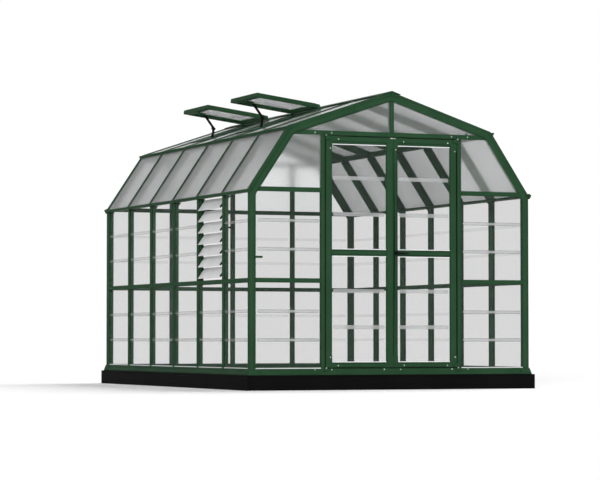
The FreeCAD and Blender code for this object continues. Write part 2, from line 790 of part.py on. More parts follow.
LOWER_RISE = ("wall_z", "mid_rail_z")
LOWER_GLAZED = ("wall_z", "mid_rail_z-member_half")


def storeys(top):
    """The lower and upper row of panes on a wall: sheet, then the part that shows."""
    return ((LOWER_RISE, LOWER_GLAZED), (("mid_rail_z", top), ("mid_rail_z+member_half", top)))


side_panes = {}
for row_index, (rise, glazed) in enumerate(storeys("purlin_z")):
    for k in range(BAYS_LONG):
        plate = bay_span("half_length", BAYS_LONG, k, "0")
        sight = bay_span("half_length", BAYS_LONG, k, "member_half")
        side_panes[row_index, k] = ribbed_pane("right", plate, sight, rise, glazed)
node("right_wall_panes", list(side_panes.values()))
left_panes = [pane for place, pane in side_panes.items() if place != (1, LOUVRE_BAY)]
node("left_wall_panes", [mirror(pane, "x") for pane in left_panes])


def trapezoid_pane(wall, inner_edge):
    """A frosted pane between the eave rail, the header and a lower gable rafter."""
    corners = [
        (inner_edge, "eave_top"),
        (lower_x("-gable_depth", "eave_top"), "eave_top"),
        (lower_x("-gable_depth", "header_z"), "header_z"),
        (inner_edge, "header_z"),
    ]
    return bar("trapezoid", corners, "y", *face_span(wall, *IN_PANES))


front_panes = [ribbed_pane("front", front_along, front_along, *rows) for rows in storeys("eave_height")]
node("front_wall_panes", both(front_panes, "x"))

back_panes = []
for rise, glazed in storeys("eave_height"):
    for k in range(BAYS_WIDE):
        plate = bay_span("half_width", BAYS_WIDE, k, "0")
        sight = bay_span("half_width", BAYS_WIDE, k, "member_half")
        back_panes.append(ribbed_pane("back", plate, sight, rise, glazed))
node("back_wall_panes", back_panes)

gable_pane_outline = [
    ("member_half", "header_top"),
    (upper_x("-gable_depth", "header_top"), "header_top"),
    ("member_half", upper_z("-gable_depth", "member_half")),
]
triangle = bar("triangle_pane", gable_pane_outline, "y", *face_span("back", *IN_PANES))
back_top = wall_box("back_top_pane", "back", ("0", "bay_pitch"), IN_PANES, ("eave_top", "header_z"))
end_panes = [trapezoid_pane("front", "bay_pitch+member_half"), trapezoid_pane("back", "bay_pitch"), back_top]
node("gable_panes", both(both([triangle], "y") + end_panes, "x"))

# Roof panes: frosted sheets between rafters and caps; over the vents' bays only short sheets remain.
ROOF_LAYER = ("pane_under", "-cap_thickness")
ridge_edge = [("0", upper_z(out, "0")) for out in ROOF_LAYER[::-1]]
lower_pane = slab(lower_at, ("0", "lower_len-knee_pane_gap"), ROOF_LAYER)
upper_pane = [upper_at("-knee_lap", out) for out in ROOF_LAYER] + ridge_edge
KERB_END = "kerb_from_ridge+kerb_width"
below_vent = [upper_at("-knee_lap", out) for out in ROOF_LAYER]
below_vent += [from_ridge(KERB_END, out) for out in ROOF_LAYER[::-1]]
above_vent = [from_ridge("hinge_from_ridge-hinge_kerb_half", out) for out in ROOF_LAYER] + ridge_edge


def roof_row(label, corners, bays):
    sketch = outline(f"{label}_outline", corners, "y")
    row = []
    for k in bays:
        low = bay_line("half_length", k) + ("+wall_in" if k == 0 else "")
        high = bay_line("half_length", k + 1) + ("-wall_in" if k == BAYS_LONG - 1 else "")
        row.append(extrude(label, sketch, "y", low, high))
    return row


vent_bays = list(VENT_BAYS.values())
plain_bays = [k for k in range(BAYS_LONG) if k not in vent_bays]
lower_row = roof_row("lower_roof_pane", lower_pane, range(BAYS_LONG))
plain_row = roof_row("upper_roof_pane", upper_pane, plain_bays)
whole_row = roof_row("upper_roof_pane", upper_pane, vent_bays)
short_row = roof_row("pane_below_vent", below_vent, vent_bays)
short_row += roof_row("pane_above_vent", above_vent, vent_bays)
node("right_roof_panes", lower_row + plain_row + whole_row)
node("left_roof_panes", [mirror(pane, "x") for pane in lower_row + plain_row + short_row])


# Double door: each leaf is a frame of stiles and rails, drawn in the front wall between the door posts.
LEAF_LAYER = ("leaf_in", "leaf_proud")
LEAF_RISE = ("leaf_z", "leaf_top")
RAIL_RISES = (
    ("leaf_z", "leaf_z+leaf_bottom_rail"),
    ("leaf_mid_z-leaf_mid_rail/2", "leaf_mid_z+leaf_mid_rail/2"),
    ("leaf_top-leaf_top_rail", "leaf_top"),
)
LEAVES = {
    "left": ("-leaf_out", "left_edge", "hinge_stile", "left_meeting_stile"),
    "right": ("right_edge", "leaf_out", "right_meeting_stile", "hinge_stile"),
}


def corner_cover(x_edge, x_sign, stile, z_edge, z_sign, rail):
    """A thin L-shaped cover over the joint of a stile and a rail."""
    steps = [("0", "0"), ("cover_leg", "0"), ("cover_leg", rail)]
    steps += [(stile, rail), (stile, "cover_leg"), ("0", "cover_leg")]
    corners = [(f"{x_edge}+{x_sign}*{dx}", f"{z_edge}+{z_sign}*{dz}") for dx, dz in steps]
    return bar("corner_cover", corners, "y", *face_span("front", "leaf_proud", "leaf_proud+cover_thickness"))


def hinge_eye(sign, rise):
    """A bored eye on an arm that stands in front of the leaf's hinge corner."""
    centre = (f"{sign}*hinge_x", "-half_length-hinge_out")
    barrel = rod("eye_barrel", "z", centre, "eye_radius", *rise)
    edges = ("hinge_x-eye_arm", "hinge_x")
    along = edges if sign > 0 else (f"-({edges[1]})", f"-({edges[0]})")
    across = ("leaf_proud+cover_thickness", "hinge_out+eye_radius/2")
    arm = wall_box("eye_arm_block", "front", along, across, rise)
    bore = rod("eye_bore", "z", centre, "pin_radius+running_clearance", *rise)
    return cut("hinge_eye", join("eye_body", [barrel, arm]), [bore])


for side, (low, high, low_stile, high_stile) in LEAVES.items():
    inner = (f"{low}+{low_stile}", f"{high}-{high_stile}")
    low_bar = wall_box("stile", "front", (low, inner[0]), LEAF_LAYER, LEAF_RISE)
    high_bar = wall_box("stile", "front", (inner[1], high), LEAF_LAYER, LEAF_RISE)
    if side == "right":
        hole = rod(
            "spindle_hole",
            "y",
            ("spindle_x", "leaf_mid_z"),
            "spindle_radius+running_clearance",
            *face_span("front", *LEAF_LAYER),
        )
        low_bar = cut("drilled_stile", low_bar, [hole])
    rails = [wall_box("leaf_rail", "front", inner, LEAF_LAYER, rise) for rise in RAIL_RISES]
    node(f"{side}_leaf_frame", [low_bar, high_bar] + rails)

    panes = []
    for below, above in zip(RAIL_RISES, RAIL_RISES[1:]):
        rise = (below[1], above[0])
        flat = wall_box("leaf_pane", "front", inner, ("-pane_thickness/2", "pane_thickness/2"), rise)
        raised = face_span("front", "pane_thickness/2", "pane_thickness/2+rib_proud")
        panes.append(join("ribbed_leaf_pane", [flat] + ribs("front", inner, rise, raised)))
    node(f"{side}_leaf_panes", panes)

    fittings = []
    for z_edge, z_sign, rail in (("leaf_z", 1, "leaf_bottom_rail"), ("leaf_top", -1, "leaf_top_rail")):
        fittings.append(corner_cover(low, 1, low_stile, z_edge, z_sign, rail))
        fittings.append(corner_cover(high, -1, high_stile, z_edge, z_sign, rail))
    sign = -1 if side == "left" else 1
    fittings.append(hinge_eye(sign, ("leaf_top-eye_height", "leaf_top")))
    fittings.append(hinge_eye(sign, ("leaf_z", "leaf_z+eye_height")))
    node(f"{side}_leaf_fittings", fittings)

# Door pivots: a steel lug with a pin above and below each leaf, on the header and on the sill.
LUG_ALONG = ("hinge_x-eye_radius", "hinge_x+lug_reach")
LUG_LAYER = ("member_proud", "hinge_out+eye_radius")
PIVOT_CENTRE = ("hinge_x", "-half_length-hinge_out")
top_lug = wall_box("top_lug", "front", LUG_ALONG, LUG_LAYER, ("header_z", "header_z+lug_height"))
top_pin = rod("top_pin", "z", PIVOT_CENTRE, "pin_radius", "leaf_top-eye_height", "header_z")
low_lug = wall_box("low_lug", "front", LUG_ALONG, LUG_LAYER, ("wall_z-lug_height", "wall_z"))
low_pin = rod("low_pin", "z", PIVOT_CENTRE, "pin_radius", "wall_z", "leaf_z+eye_height")
node("door_pivots", both([join("top_pivot", [top_lug, top_pin]), join("low_pivot", [low_lug, low_pin])], "x"))

# Door stop under the header, just behind the leaves' meeting edges.
STOP_LAYER = ("leaf_in-stop_gap-stop_thickness", "leaf_in-stop_gap")
stop_along = ("meeting_offset-stop_half_width", "meeting_offset+stop_half_width")
node("door_stop", [wall_box("stop", "front", stop_along, STOP_LAYER, ("header_z-stop_height", "header_z"))])

# Lever handle: a spindle through the right leaf's meeting stile, a lever on each face and round roses.
SPINDLE = ("spindle_x", "leaf_mid_z")
LEVER_RISE = ("leaf_mid_z-lever_height/2", "leaf_mid_z+lever_height/2")
lever_along = ("spindle_x-lever_height/2", "spindle_x+lever_length")
LEVER_FACE = "lever_standoff+lever_thickness"
outer_lever = wall_box(
    "outer_lever", "front", lever_along, ("leaf_proud+lever_standoff", f"leaf_proud+{LEVER_FACE}"), LEVER_RISE
)
inner_lever = wall_box(
    "inner_lever", "front", lever_along, (f"leaf_in-({LEVER_FACE})", "leaf_in-lever_standoff"), LEVER_RISE
)
spindle_span = face_span("front", "leaf_in-lever_standoff", "leaf_proud+lever_standoff")
spindle = rod("spindle", "y", SPINDLE, "spindle_radius", *spindle_span)
node("door_handle", [join("handle", [outer_lever, spindle, inner_lever])])

roses = []
for layer in (("leaf_proud", "leaf_proud+rose_thickness"), ("leaf_in-rose_thickness", "leaf_in")):
    span = face_span("front", *layer)
    disc = rod("rose_disc", "y", SPINDLE, "rose_radius", *span)
    bore = rod("rose_bore", "y", SPINDLE, "spindle_radius+running_clearance", *span)
    roses.append(cut("rose", disc, [bore]))
node("handle_roses", roses)

# Catch on the front left corner post, with a round magnet that meets the opened left leaf.
CATCH_END = "corner_half-half_width+catch_reach"
catch_rise = ("catch_z-catch_height/2", "catch_z+catch_height/2")
catch_layer = ("corner_half", "corner_half+catch_thickness")
catch_along = ("corner_half-half_width-catch_foot", CATCH_END)
catch_arm = wall_box("catch_arm", "front", catch_along, catch_layer, catch_rise)
magnet_span = face_span("front", catch_layer[1], f"{catch_layer[1]}+magnet_thickness")
magnet = rod("magnet", "y", (f"{CATCH_END}-catch_height/2", "catch_z"), "magnet_radius", *magnet_span)
node("door_catch", [catch_arm, magnet])


# Roof vents on the left upper slope, drawn on the right in the photographed open position and mirrored.
def vent_at(along, above):
    """A point on an open vent: along it from the hinge rod, and square to it."""
    return (
        f"vent_x+({along})*tilt_cos-({above})*tilt_sin",
        f"vent_z+({along})*tilt_sin+({above})*tilt_cos",
    )


def arm_outline(start, end, length):
    """The side view of a stay arm with pointed ends beyond its two pivots."""
    run = (f"(({end[0]})-({start[0]}))/{length}", f"(({end[1]})-({start[1]}))/{length}")

    def place(along, aside):
        return (
            f"{start[0]}+({along})*{run[0]}-({aside})*{run[1]}",
            f"{start[1]}+({along})*{run[1]}+({aside})*{run[0]}",
        )

    return [
        place("0", "-arm_half"),
        place(length, "-arm_half"),
        place(f"{length}+arm_half", "0"),
        place(length, "arm_half"),
        place("0", "arm_half"),
        place("-arm_half", "0"),
    ]


STAY_TOP = ("top_x", "top_z")
STAY_FOOT = ("foot_x", "foot_z")
STAY_ELBOW = ("elbow_x", "elbow_z")
VENT_LAYER = ("-vent_under", "vent_depth-vent_under")
FREE_EDGE = "vent_length-vent_free_rail"
CROSS_BAR_START = "stay_foot_from_ridge+2*ear_half"


def vent_sketch(name, along, above):
    return outline(f"{name}_outline", slab(vent_at, along, above), "y")


def roof_sketch(name, down, out):
    return outline(f"{name}_outline", slab(from_ridge, down, out), "y")


hinge_rail_sketch = vent_sketch("vent_hinge_rail", ("-vent_back", "vent_hinge_rail"), VENT_LAYER)
side_rail_sketch = vent_sketch("vent_side_rail", ("vent_hinge_rail", FREE_EDGE), VENT_LAYER)
free_rail_sketch = vent_sketch("vent_free_rail", (FREE_EDGE, "vent_length"), VENT_LAYER)
vent_pane_layer = ("vent_pane_top-pane_thickness", "vent_pane_top")
vent_pane_sketch = vent_sketch("vent_pane", ("vent_hinge_rail", FREE_EDGE), vent_pane_layer)
top_ear_along = ("stay_reach-ear_half", f"{FREE_EDGE}+ear_lap")
top_ear_sketch = vent_sketch("top_ear", top_ear_along, ("-stay_hang-ear_half", "-vent_under"))
upper_arm_outline = arm_outline(STAY_TOP, STAY_ELBOW, "upper_arm_length")
lower_arm_outline = arm_outline(STAY_FOOT, STAY_ELBOW, "lower_arm_length")
upper_arm_sketch = outline("upper_arm_outline", upper_arm_outline, "y")
lower_arm_sketch = outline("lower_arm_outline", lower_arm_outline, "y")
foot_ear_layer = ("-stay_foot_below-ear_half", "ear_half-stay_foot_below")
foot_ear_sketch = roof_sketch("foot_ear", ("stay_foot_from_ridge-ear_half", CROSS_BAR_START), foot_ear_layer)
cross_bar_down = (CROSS_BAR_START, f"{CROSS_BAR_START}+cross_bar_width")
cross_bar_layer = ("-stay_foot_below-cross_bar_depth/2", "cross_bar_depth/2-stay_foot_below")
cross_bar_sketch = roof_sketch("cross_bar", cross_bar_down, cross_bar_layer)
low_kerb_sketch = roof_sketch("low_kerb", ("kerb_from_ridge", KERB_END), ("-rafter_depth", "kerb_top"))
hinge_kerb_down = ("hinge_from_ridge-hinge_kerb_half", "hinge_from_ridge+hinge_kerb_half")
hinge_kerb_sketch = roof_sketch("hinge_kerb", hinge_kerb_down, ("-rafter_depth", "0"))
bracket_down = ("hinge_from_ridge-bracket_back", "hinge_from_ridge+bracket_back")
bracket_sketch = roof_sketch("hinge_bracket", bracket_down, ("0", "hinge_above+2*rod_radius"))


def stay_pin(middle, centre, reach):
    return rod("stay_pin", "y", centre, "arm_pin_radius", f"{middle}-{reach}", f"{middle}+{reach}")


def eyed(name, sketch, span, centre):
    """A stay arm with a running hole at the end that turns on a pin."""
    hole = rod(f"{name}_hole", "y", centre, "arm_pin_radius+running_clearance", *span)
    return cut(name, extrude(f"{name}_blank", sketch, "y", *span), [hole])


kerbs, hinge_rods, cross_bars = [], [], []
for vent, k in VENT_BAYS.items():
    low, high = bay_line("half_length", k), bay_line("half_length", k + 1)
    middle = f"({k}*bay_pitch+bay_pitch/2-half_length)"
    span = (f"{low}-vent_lap", f"{high}+vent_lap")
    between = (f"{span[0]}+vent_side_rail", f"{span[1]}-vent_side_rail")
    hinge_span = (f"{low}+bracket_half+bracket_gap", f"{high}-bracket_half-bracket_gap")
    hinge_rail = extrude("vent_hinge_rail_blank", hinge_rail_sketch, "y", *hinge_span)
    rod_bore = rod("rod_bore", "y", ("vent_x", "vent_z"), "rod_radius+running_clearance", *hinge_span)
    ear_reach = "arm_thickness+arm_gap/2+ear_gap+ear_thickness"
    ear_start = "arm_thickness+arm_gap/2+ear_gap"
    top_ears = [
        extrude("top_ear", top_ear_sketch, "y", f"{middle}-({ear_reach})", f"{middle}-({ear_start})"),
        extrude("top_ear", top_ear_sketch, "y", f"{middle}+{ear_start}", f"{middle}+{ear_reach}"),
    ]
    top_pin_piece = stay_pin(middle, STAY_TOP, f"({ear_reach})")
    frame = [
        cut("vent_hinge_rail", hinge_rail, [rod_bore]),
        extrude("vent_side_rail", side_rail_sketch, "y", span[0], between[0]),
        extrude("vent_side_rail", side_rail_sketch, "y", between[1], span[1]),
        extrude("vent_free_rail", free_rail_sketch, "y", *span),
        join("stay_bracket", top_ears + [top_pin_piece]),
    ]
    node(f"{vent}_frame", [mirror(piece, "x") for piece in frame])
    node(f"{vent}_pane", [mirror(extrude("vent_pane", vent_pane_sketch, "y", *between), "x")])

    near_span = (f"{middle}-arm_gap/2-arm_thickness", f"{middle}-arm_gap/2")
    far_span = (f"{middle}+arm_gap/2", f"{middle}+arm_gap/2+arm_thickness")
    node(f"{vent}_upper_arm", [mirror(eyed("upper_arm", upper_arm_sketch, near_span, STAY_TOP), "x")])
    lower_arm = eyed("lower_arm", lower_arm_sketch, far_span, STAY_FOOT)
    knob = rod("elbow_knob", "y", STAY_ELBOW, "elbow_radius", far_span[1], f"{far_span[1]}+arm_thickness")
    node(f"{vent}_lower_arm", [mirror(join("lower_arm_and_knob", [lower_arm, knob]), "x")])

    rafter_span = (f"{low}+rafter_width/2", f"{high}-rafter_width/2")
    kerbs.append(extrude("low_kerb", low_kerb_sketch, "y", *rafter_span))
    kerbs.append(extrude("hinge_kerb", hinge_kerb_sketch, "y", *rafter_span))
    foot_ears = [
        extrude("foot_ear", foot_ear_sketch, "y", f"{middle}-({ear_reach})", f"{middle}-({ear_start})"),
        extrude("foot_ear", foot_ear_sketch, "y", f"{middle}+{ear_start}", f"{middle}+{ear_reach}"),
    ]
    foot_pin_piece = stay_pin(middle, STAY_FOOT, f"({ear_reach})")
    cross_bar = extrude("cross_bar", cross_bar_sketch, "y", *rafter_span)
    cross_bars.append(join("stay_rail", [cross_bar, foot_pin_piece] + foot_ears))
    brackets = [
        extrude("hinge_bracket", bracket_sketch, "y", f"{line}-bracket_half", f"{line}+bracket_half")
        for line in (low, high)
    ]
    hinge_rod = rod("hinge_rod", "y", ("vent_x", "vent_z"), "rod_radius", low, high)
    hinge_rods.append(join("vent_hinge", brackets + [hinge_rod]))
node("vent_kerbs", [mirror(piece, "x") for piece in kerbs])
node("vent_stay_rails", [mirror(piece, "x") for piece in cross_bars])
node("vent_hinges", [mirror(piece, "x") for piece in hinge_rods])


# Louvre window in the left wall: drawn on the right in its photographed half-open tilt and mirrored.
def blade_at(index, along, square):
    """A point on a blade: from its pivot towards the lower, outer edge, and square to it."""
    return (
        f"half_width+({along})*blade_sin+({square})*blade_cos",
        f"louvre_z+{index}*louvre_pitch-({along})*blade_cos+({square})*blade_sin",
    )


PIVOT_ROOM = "stub_radius+running_clearance"
jamb_rise = ("mid_rail_z+member_half", "purlin_z")
jamb_spans = (("jamb_front-jamb_thickness", "jamb_front"), ("jamb_rear", "jamb_rear+jamb_thickness"))
jambs = []
for span in jamb_spans:
    blank = wall_box("jamb_blank", "right", span, FULL_DEPTH, jamb_rise)
    holes = [
        rod("pivot_hole", "y", ("half_width", f"louvre_z+{i}*louvre_pitch"), PIVOT_ROOM, *span)
        for i in range(LOUVRE_BLADES)
    ]
    jambs.append(cut("jamb", blank, holes))
node("louvre_jambs", [mirror(jamb, "x") for jamb in jambs])

CLIP_END = "clip_start+clip_thickness"
link_start = f"jamb_front+{CLIP_END}+link_gap"
link_span = (link_start, f"{link_start}+link_thickness")
link_holes = []
for i in range(LOUVRE_BLADES):

    def on_blade(along, square, index=i):
        return blade_at(index, along, square)

    glass = slab(on_blade, ("-blade_height/2", "blade_height/2"), ("-blade_thickness/2", "blade_thickness/2"))
    clip_layer = ("-clip_depth/2", "clip_depth/2")
    clip_sketch = outline("clip_outline", slab(on_blade, ("-clip_half", "clip_half"), clip_layer), "y")
    jaw_sketch = outline("jaw_outline", slab(on_blade, ("clip_half-clip_jaw", "clip_half"), clip_layer), "y")
    pivot = ("half_width", f"louvre_z+{i}*louvre_pitch")
    link_point = blade_at(i, "-link_offset", "0")
    front_clip = join(
        "front_clip",
        [
            extrude("clip", clip_sketch, "y", "jamb_front+clip_start", f"jamb_front+{CLIP_END}"),
            extrude("jaw", jaw_sketch, "y", f"jamb_front+{CLIP_END}", "jamb_front+blade_start"),
            rod("stub", "y", pivot, "stub_radius", "jamb_front-stub_in_jamb", "jamb_front+clip_start"),
            rod("link_pin", "y", link_point, "link_pin_radius", f"jamb_front+{CLIP_END}", link_span[1]),
        ],
    )
    rear_clip = join(
        "rear_clip",
        [
            extrude("clip", clip_sketch, "y", f"jamb_rear-({CLIP_END})", "jamb_rear-clip_start"),
            extrude("jaw", jaw_sketch, "y", "jamb_rear-blade_start", f"jamb_rear-({CLIP_END})"),
            rod("stub", "y", pivot, "stub_radius", "jamb_rear-clip_start", "jamb_rear+stub_in_jamb"),
        ],
    )
    blade = bar("blade", glass, "y", "jamb_front+blade_start", "jamb_rear-blade_start")
    node(f"louvre_blade_{i + 1}", [mirror(piece, "x") for piece in (blade, front_clip, rear_clip)])
    link_holes.append(rod("link_hole", "y", link_point, "link_pin_radius+running_clearance", *link_span))

first_x, first_z = blade_at(0, "-link_offset", "0")
last_z = blade_at(LOUVRE_BLADES - 1, "-link_offset", "0")[1]
grip_z = blade_at(LOUVRE_BLADES // 2, "-link_offset", "0")[1]
link_across = (f"{first_x}-link_half", f"{first_x}+link_half")
link_bar = box("link_bar", (link_across, link_span, (f"{first_z}-link_tail", f"{last_z}+link_tail")))
grip_rise = (f"{grip_z}+louvre_pitch/2-grip_height/2", f"{grip_z}+louvre_pitch/2+grip_height/2")
grip = box("grip", ((f"{first_x}-link_half-grip_length", f"{first_x}-link_half"), link_span, grip_rise))
drilled_link = cut("drilled_link", join("link_and_grip", [link_bar, grip]), link_holes)
node("louvre_link_bar", [mirror(drilled_link, "x")])

# Screw heads on the front: along the header and the sill, beside the door posts and the meeting edges.
screws = []
front_face = face_span("front", "member_proud", "member_proud+screw_height")
for x in ("bay_pitch-2*member_width", "bay_pitch+2*member_width"):
    screws.append(rod("header_screw", "y", (x, "header_z+member_half"), "screw_radius", *front_face))
for x in ("2*member_width", "bay_pitch-2*member_width", "bay_pitch+2*member_width"):
    screws.append(rod("sill_screw", "y", (x, "wall_z-member_half/2"), "screw_radius", *front_face))
node("frame_screws", both(screws, "x"))

document.recompute()
for item in document.Objects:
    if "Invalid" in item.State or "Error" in item.State:
        raise RuntimeError(f"{item.Label} failed: {item.State}")
for item in nodes:
    if item.Shape.isNull() or not item.Shape.isValid():
        raise RuntimeError(f"{item.Label} has no valid shape")

os.makedirs("parts", exist_ok=True)
for item in nodes:
    item.Shape.exportStep(f"parts/{item.Label}.step")
print(len(nodes), "sub-parts,", sum(len(item.Shape.Solids) for item in nodes), "solids")
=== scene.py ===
import math

import bmesh
import bpy
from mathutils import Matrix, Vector


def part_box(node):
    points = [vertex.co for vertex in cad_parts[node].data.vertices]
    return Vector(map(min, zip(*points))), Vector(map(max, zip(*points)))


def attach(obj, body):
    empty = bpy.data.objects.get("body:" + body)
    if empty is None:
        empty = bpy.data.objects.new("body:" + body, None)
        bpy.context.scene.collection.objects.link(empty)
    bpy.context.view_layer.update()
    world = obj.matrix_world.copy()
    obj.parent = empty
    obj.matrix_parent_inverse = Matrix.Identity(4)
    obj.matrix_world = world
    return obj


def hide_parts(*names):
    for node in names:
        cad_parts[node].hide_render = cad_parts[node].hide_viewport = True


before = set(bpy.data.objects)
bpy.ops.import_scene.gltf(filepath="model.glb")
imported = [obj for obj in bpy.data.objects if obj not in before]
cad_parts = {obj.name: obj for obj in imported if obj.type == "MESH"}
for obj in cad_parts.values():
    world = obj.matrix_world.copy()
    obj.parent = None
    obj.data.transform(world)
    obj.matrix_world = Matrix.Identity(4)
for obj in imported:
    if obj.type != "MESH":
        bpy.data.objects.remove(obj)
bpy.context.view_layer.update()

# Plinth: ten lengths of black extruded plastic, butted end to end on the ground under the walls. Each is
# a hollow section open below, with closed ends, a matt face and two fine lines run along that face.
PLINTH_WALL = 0.012
PLINTH_LINE = 0.0025
PLINTH_LINE_FOOT = 3 * PLINTH_LINE
PLINTH_LINE_HEAD = 6 * PLINTH_LINE
PLINTH_EDGE = 0.005
PLINTH_CUT = 0.3 * PLINTH_EDGE
DRIFT_BAND = (0.35, 0.65)
DRIFT_DETAIL = 4
GRAIN_DETAIL = 2
GRAIN_DEPTH = 0.001
END_FACES = 2


def solids_of(node):
    """The separate solids of a frame node, each as a list of faces of corner points."""
    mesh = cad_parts[node].data
    solids, faces, open_edges = [], [], set()
    for polygon in mesh.polygons:
        corners = [tuple(round(c, 6) for c in mesh.vertices[i].co) for i in polygon.vertices]
        faces.append(corners)
        for start, end in zip(corners, corners[1:] + corners[:1]):
            if (end, start) in open_edges:
                open_edges.remove((end, start))
            else:
                open_edges.add((start, end))
        if not open_edges:
            solids.append(faces)
            faces = []
    return solids


def boxes_of(node):
    """The lowest and highest corner of each solid of a frame node."""
    boxes = []
    for solid in solids_of(node):
        points = list(zip(*[point for face in solid for point in face]))
        boxes.append(([min(axis) for axis in points], [max(axis) for axis in points]))
    return boxes


def skin(form, rings):
    """Joins closed rings of points into one skin with flat ends; returns its faces, the ends first."""
    count = len(rings[0])
    rings = [[form.verts.new(point) for point in ring] for ring in rings]
    faces = [form.faces.new(rings[0][::-1]), form.faces.new(rings[-1])]
    for first, second in zip(rings, rings[1:]):
        for i in range(count):
            j = (i + 1) % count
            faces.append(form.faces.new((first[i], first[j], second[j], second[i])))
    return faces


def run(form, outline, to_point, start, end):
    """Runs a closed outline from one place to another and closes both ends."""
    return skin(form, [[to_point(u, v, along) for u, v in outline] for along in (start, end)])


def wall_side(low, high):
    """The axis and the direction in which a piece on a wall looks outwards."""
    axis = 0 if high[0] - low[0] < high[1] - low[1] else 1
    return axis, (1 if low[axis] + high[axis] > 0 else -1)


def grain_group():
    """A shared effect: soft drifts between two shades, a changing gloss and the fine grain of a finish."""
    group = bpy.data.node_groups.new("finish_grain", "ShaderNodeTree")
    face = group.interface
    for name in ("Shade", "Other shade"):
        face.new_socket(name, in_out="INPUT", socket_type="NodeSocketColor")
    for name in ("Drift", "Grain", "Gloss low", "Gloss high"):
        face.new_socket(name, in_out="INPUT", socket_type="NodeSocketFloat")
    for name, kind in (("Colour", "Color"), ("Roughness", "Float"), ("Height", "Float")):
        face.new_socket(name, in_out="OUTPUT", socket_type=f"NodeSocket{kind}")
    nodes, links = group.nodes, group.links
    given, made = nodes.new("NodeGroupInput"), nodes.new("NodeGroupOutput")
    place = nodes.new("ShaderNodeTexCoord")
    drift, grain = nodes.new("ShaderNodeTexNoise"), nodes.new("ShaderNodeTexNoise")
    drift.inputs["Detail"].default_value = DRIFT_DETAIL
    grain.inputs["Detail"].default_value = GRAIN_DETAIL
    for noise, size in ((drift, "Drift"), (grain, "Grain")):
        links.new(place.outputs["Object"], noise.inputs["Vector"])
        links.new(given.outputs[size], noise.inputs["Scale"])
    shade = nodes.new("ShaderNodeMix")
    shade.data_type = "RGBA"
    spread, gloss = nodes.new("ShaderNodeMapRange"), nodes.new("ShaderNodeMapRange")
    spread.inputs["From Min"].default_value = DRIFT_BAND[0]
    spread.inputs["From Max"].default_value = DRIFT_BAND[1]
    links.new(drift.outputs["Fac"], spread.inputs["Value"])
    links.new(spread.outputs["Result"], shade.inputs["Factor"])
    links.new(given.outputs["Shade"], shade.inputs["A"])
    links.new(given.outputs["Other shade"], shade.inputs["B"])
    links.new(grain.outputs["Fac"], gloss.inputs["Value"])
    links.new(given.outputs["Gloss low"], gloss.inputs["To Min"])
    links.new(given.outputs["Gloss high"], gloss.inputs["To Max"])
    links.new(shade.outputs["Result"], made.inputs["Colour"])
    links.new(gloss.outputs["Result"], made.inputs["Roughness"])
    links.new(grain.outputs["Fac"], made.inputs["Height"])
    return group


GRAIN = grain_group()


def finish(name, shade, other, drift, grain, gloss, bump, **fixed):
    """A material with the shared grain; fixed gives the shader's plain sockets."""
    material = bpy.data.materials.new(name)
    material.use_nodes = True
    nodes, links = material.node_tree.nodes, material.node_tree.links
    shader = nodes["Principled BSDF"]
    grained, raised = nodes.new("ShaderNodeGroup"), nodes.new("ShaderNodeBump")
    grained.node_tree = GRAIN
    for socket, value in (
        ("Shade", (*shade, 1)),
        ("Other shade", (*other, 1)),
        ("Drift", drift),
        ("Grain", grain),
        ("Gloss low", gloss[0]),
        ("Gloss high", gloss[1]),
    ):
        grained.inputs[socket].default_value = value
    raised.inputs["Strength"].default_value = bump
    raised.inputs["Distance"].default_value = GRAIN_DEPTH
    links.new(grained.outputs["Colour"], shader.inputs["Base Color"])
    links.new(grained.outputs["Roughness"], shader.inputs["Roughness"])
    links.new(grained.outputs["Height"], raised.inputs["Height"])
    links.new(raised.outputs["Normal"], shader.inputs["Normal"])
    for socket, value in fixed.items():
        shader.inputs[socket.replace("_", " ")].default_value = value
    return material


def piece(name, form, materials, body="frame", stands_for=(), crease=40):
    """Makes a finished mesh a piece of the object that rides on a body."""
    bmesh.ops.recalc_face_normals(form, faces=form.faces)
    mesh = bpy.data.meshes.new(name)
    form.to_mesh(mesh)
    form.free()
    mesh.shade_smooth()
    mesh.set_sharp_from_angle(angle=math.radians(crease))
    made = bpy.data.objects.new(name, mesh)
    bpy.context.scene.collection.objects.link(made)
    for material in materials:
        mesh.materials.append(material)
    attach(made, body)
    if stands_for:
        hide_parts(*stands_for)
    return made


plinth_plastic = finish(
    "plinth_plastic", (0.0060, 0.0060, 0.0061), (0.0047, 0.0047, 0.0048),
    drift=2.5, grain=420, gloss=(0.55, 0.70), bump=0.12,
    Specular_IOR_Level=0.01,
)


def plinth_outline(width, height, hollow):
    """The section of a plinth length, from its inner foot round to the outer face and back."""
    edge, cut, line = PLINTH_EDGE, PLINTH_CUT, PLINTH_LINE
    foot = [(0, 0), (width, 0)]
    if hollow:
        room = (PLINTH_WALL, width - PLINTH_WALL)
        top = height - PLINTH_WALL
        foot = [(0, 0), (room[0], 0), (room[0], top), (room[1], top), (room[1], 0), (width, 0)]
    lines = []
    for middle in (PLINTH_LINE_FOOT, height - PLINTH_LINE_HEAD):
        sides = (middle - line, middle - line / 2, middle + line / 2, middle + line)
        lines += [(width - depth, at) for depth, at in zip((0, line, line, 0), sides)]
    crown = [(width, height - edge), (width - cut, height - cut), (width - edge, height)]
    return foot + lines + crown + [(edge, height), (cut, height - cut), (0, height - edge)]


